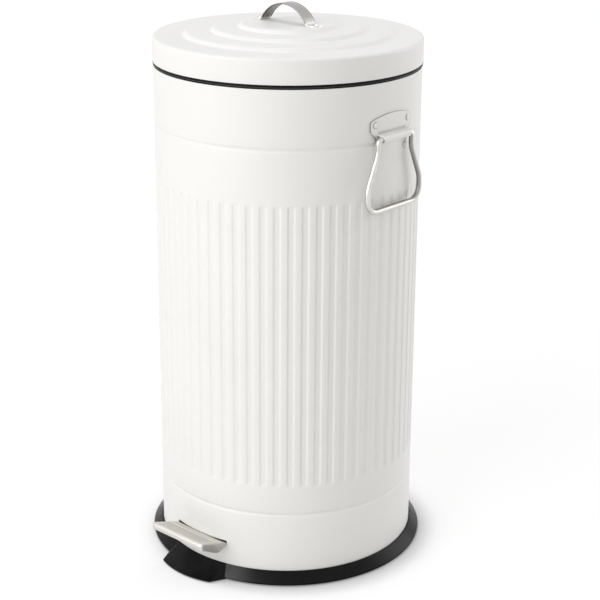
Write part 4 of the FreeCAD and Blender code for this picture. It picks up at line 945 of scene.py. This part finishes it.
def handle_rivets(side, name):
    """The four rivets of one bracket, each along the body's own outward direction, with painted
    shade round the foot of each head."""
    radius = BODY_RADIUS + BRACKET_WALL
    parts = []
    for across, rise in HANDLE_RIVETS:
        turn = math.asin(across / radius) + (0 if side > 0 else math.pi)
        way = np.array([math.cos(turn), math.sin(turn), 0.0])
        spot = radius * way + [0, 0, HANDLE_Z + rise]
        parts.append(moved(rivet(BRACKET_WALL + SHEET + 0.1), spot, way))

    # Painted shade round the foot of each rivet head
    def pressed(x, y, z):
        return np.clip((radius + RIVET_SHADE - np.hypot(x, y)) / RIVET_SHADE_FADE, 0, 1)
    piece(name + "_bracket_rivets", joined(parts), "bin", WHITE_GAP_SHADED,
          [name + "_handle_rivets"], values={"pressed": pressed})


def tread():
    """The pedal tread as a folded tray. Its top follows one slope, and its rear edge keeps a small
    gap to the round wall. Round the front and both sides a base line runs just inside the edge, and
    from it the sheet goes over a quarter circle and then straight down to the lower outline. A
    front corner is a fan of directions about one base point, over which the quarter circle grows
    from the side's to the front's. Pressed grooves are raised cosines across the slope that fade
    out towards the sides. The grooves and the sides are darkened with painted shade."""
    slope = (PEDAL_FRONT_Z - PEDAL_WALL_Z) / (PEDAL_FRONT - BODY_RADIUS)
    half = PEDAL_HALF - PEDAL_SIDE_FOLD
    front = PEDAL_FRONT - PEDAL_FOLD
    wall = BODY_RADIUS + PEDAL_GAP
    grooves = PEDAL_FRONT - GROOVES_BACK
    groove_rows = (grooves[:, None] + GROOVE_HALF * np.linspace(-1, 1, 9)).ravel()
    row = np.unique(np.concatenate([np.linspace(wall, front, 30), groove_rows]))
    fade_columns = GROOVE_END - np.array([0.5, 1.3, 2.1])
    across = np.unique(np.concatenate([np.linspace(-half, half, 29), -fade_columns, fade_columns]))
    wide, deep = np.meshgrid(across, row)
    hollow = np.sqrt(wall ** 2 - wide ** 2) - wall
    deep = deep + hollow * (1 - eased((deep - wall) / PEDAL_REAR_RUN))
    dip = (sum(raised_cosine(deep - middle, GROOVE_HALF) for middle in grooves)
           * eased((GROOVE_END - np.abs(wide)) / GROOVE_FADE))
    height = PEDAL_WALL_Z + slope * (deep - BODY_RADIUS) - GROOVE_DEPTH * dip
    top = np.stack([wide, -deep, height], -1)
    out = deep[:, 0]
    fan = np.linspace(0, math.pi / 2, 9)[1:-1]
    share = fan / (math.pi / 2)
    base = np.concatenate([
        np.stack([0 * out + half, out], -1), [[half, front]] * len(fan),
        np.stack([across[::-1], 0 * across + front], -1), [[-half, front]] * len(fan),
        np.stack([0 * out - half, out[::-1]], -1)])
    way = np.concatenate([
        [[1.0, 0.0]] * len(out), np.stack([np.cos(fan), np.sin(fan)], -1),
        [[0.0, 1.0]] * len(across), np.stack([-np.sin(fan), np.cos(fan)], -1),
        [[-1.0, 0.0]] * len(out)])
    toward = np.concatenate([0 * out, share, 0 * across + 1, share[::-1], 0 * out])
    bend = PEDAL_SIDE_FOLD + (PEDAL_FOLD - PEDAL_SIDE_FOLD) * toward
    level = PEDAL_WALL_Z + slope * (base[:, 1] - BODY_RADIUS)
    heel = rounded([(PEDAL_TAIL, PEDAL_TAIL_Z), (PEDAL_HEEL, PEDAL_HEEL_Z),
                    (PEDAL_FRONT, PEDAL_FRONT_Z - PEDAL_LIP)], [PEDAL_HEEL_ROUND])
    lowest = np.interp(base[:, 1] + PEDAL_FOLD * toward, heel[:, 0], heel[:, 1])
    drop = np.maximum(level - lowest, bend + PEDAL_SIDE_LEAST)
    fold = np.linspace(0, math.pi / 2, 8)
    far = bend[:, None] * np.concatenate([np.sin(fold), [1.0] * 4])
    flat = bend[:, None] + (drop - bend)[:, None] * np.array([0.25, 0.5, 0.75, 1.0])
    fall = np.concatenate([bend[:, None] * (1 - np.cos(fold)), flat], axis=1)
    edge = base[:, None] + way[:, None] * far[..., None]
    skirt = np.stack([edge[..., 0], -edge[..., 1], level[:, None] - fall], -1)

    # Painted shade: darker in the grooves and on the side folds
    def dull(x, y, z):
        on_top = (np.abs(x) < half - 0.5) * (-y < front - 0.5)
        below_top = np.clip((PEDAL_WALL_Z - slope * (y + BODY_RADIUS) - z) / GROOVE_DEPTH, 0, 1)
        on_side = eased((np.abs(x) - half) / PEDAL_SIDE_FOLD) * (-y < front)
        return GROOVE_SHADE * on_top * below_top + TREAD_SIDE_SHADE * on_side
    piece("pedal_tread_tray", joined([grid(top[:, ::-1]), grid(skirt[:, ::-1])]), "pedal",
          TREAD_STEEL, ["pedal_tread"], wall=PEDAL_SHEET, values={"dull": dull})


base_ring()
toe()
body_wall()
lid_sheet()
rim_and_seal()
hinge_cover()
strap()
strap_rivets()
tread()
for side, name in ((1, "right"), (-1, "left")):
    bracket(side, name)
    bail(side, name)
    handle_rivets(side, name)

# Floor, light and camera, in metres and radians
FLOOR_HALF = 9
SHADE_REACH = 0.045
LIGHT_AIM = 0.32
CAMERA_TURN = math.radians(41.85)
CAMERA_REACH = 1.69145
CAMERA_HEIGHT = 0.89654
CAMERA_DIP = math.radians(18.599)
CAMERA_ROLL = 0.00385


def seen_rays(tree):
    """1 for rays that show a surface as it is: from the camera, a mirror or through glass."""
    path = tree.nodes.new("ShaderNodeLightPath")
    total = path.outputs["Is Camera Ray"]
    for label in ("Is Glossy Ray", "Is Transmission Ray"):
        both = placed(tree, "ShaderNodeMath", _operation="MAXIMUM")
        tree.links.new(total, both.inputs[0])
        tree.links.new(path.outputs[label], both.inputs[1])
        total = both.outputs["Value"]
    return total


def pale_floor():
    """A large pale floor that keeps the shadow. What is seen of it is lifted towards white, more so
    far from the bin, where the lamps fade, and less so where something stands close by on the side
    of the light, which paints a contact shadow."""
    mesh = bpy.data.meshes.new("floor")
    corners = FLOOR_HALF * np.array([(-1, -1, 0), (1, -1, 0), (1, 1, 0), (-1, 1, 0)])
    mesh.from_pydata(corners.tolist(), [], [(0, 1, 2, 3)])
    made = in_scene("floor", mesh)
    finish = bpy.data.materials.new("pale_floor")
    finish.use_nodes = True
    tree = finish.node_tree
    tree.nodes.remove(tree.nodes["Principled BSDF"])
    bounce = placed(tree, "ShaderNodeBsdfDiffuse", Color=(0.86, 0.85, 0.83, 1))
    shown = placed(tree, "ShaderNodeBsdfDiffuse", Color=(0.32, 0.32, 0.32, 1))
    lift = placed(tree, "ShaderNodeEmission", Color=(1, 1, 1, 1))
    place = placed(tree, "ShaderNodeTexCoord")
    away = placed(tree, "ShaderNodeVectorMath", _operation="LENGTH")
    fade = placed(tree, "ShaderNodeMapRange", _interpolation_type="SMOOTHSTEP",
                  From_Min=0.2, From_Max=3.0, To_Min=0.73, To_Max=0.86)
    lean = placed(tree, "ShaderNodeCombineXYZ", X=-0.44145, Y=0.0882, Z=1.0)
    near = placed(tree, "ShaderNodeAmbientOcclusion", _samples=8, Distance=SHADE_REACH)
    shade = placed(tree, "ShaderNodeMapRange", From_Min=0.45, From_Max=0.92, To_Min=0.27,
                   To_Max=1.0)
    strength = placed(tree, "ShaderNodeMath", _operation="MULTIPLY")
    both = tree.nodes.new("ShaderNodeAddShader")
    pick = tree.nodes.new("ShaderNodeMixShader")
    for source, goal in (
            (place.outputs["Object"], away.inputs[0]),
            (away.outputs["Value"], fade.inputs["Value"]),
            (lean.outputs["Vector"], near.inputs["Normal"]),
            (near.outputs["AO"], shade.inputs["Value"]),
            (shade.outputs["Result"], strength.inputs[0]),
            (fade.outputs["Result"], strength.inputs[1]),
            (strength.outputs["Value"], lift.inputs["Strength"]),
            (shown.outputs[0], both.inputs[0]), (lift.outputs[0], both.inputs[1]),
            (seen_rays(tree), pick.inputs[0]), (bounce.outputs[0], pick.inputs[1]),
            (both.outputs[0], pick.inputs[2]),
            (pick.outputs[0], tree.nodes["Material Output"].inputs["Surface"])):
        tree.links.new(source, goal)
    mesh.materials.append(finish)


def soft_light(name, around, height, far, width, power):
    """A square soft light aimed at the middle of the bin; around is its angle to the right of the
    camera."""
    turn = CAMERA_TURN + math.radians(around)
    lamp = bpy.data.lights.new(name, "AREA")
    lamp.shape = "SQUARE"
    lamp.size = width
    lamp.energy = power
    rise = math.radians(height)
    in_scene(name, lamp).matrix_world = (
        Matrix.Translation((0, 0, LIGHT_AIM)) @ Matrix.Rotation(turn, 4, "Z")
        @ Matrix.Rotation(math.pi / 2 - rise, 4, "X") @ Matrix.Translation((0, 0, far)))


pale_floor()
soft_light("key", around=-48, height=27, far=3.0, width=2.4, power=51)
soft_light("top", around=-165, height=80, far=2.4, width=0.5, power=8.5)
soft_light("rim", around=109, height=18, far=3.0, width=1.8, power=27)

world = bpy.data.worlds.new("studio")
bpy.context.scene.world = world
world.use_nodes = True
sky = world.node_tree.nodes["Background"]
sky.inputs["Color"].default_value = (1, 1, 1, 1)
strength = placed(world.node_tree, "ShaderNodeMapRange", To_Min=0.47, To_Max=1.0)
world.node_tree.links.new(seen_rays(world.node_tree), strength.inputs["Value"])
world.node_tree.links.new(strength.outputs["Result"], sky.inputs["Strength"])

lens = bpy.data.cameras.new("camera")
lens.sensor_width = 36.0
lens.lens = 91.741
lens.shift_x = 0.0216
lens.shift_y = -0.0533
lens.clip_end = 60.0
camera = in_scene("camera", lens)
spot = (CAMERA_REACH * math.sin(CAMERA_TURN), -CAMERA_REACH * math.cos(CAMERA_TURN), CAMERA_HEIGHT)
camera.matrix_world = (
    Matrix.Translation(spot) @ Matrix.Rotation(CAMERA_TURN, 4, "Z")
    @ Matrix.Rotation(math.pi / 2 - CAMERA_DIP, 4, "X") @ Matrix.Rotation(CAMERA_ROLL, 4, "Z"))
bpy.context.scene.camera = camera
bpy.context.scene.view_settings.view_transform = "Standard"
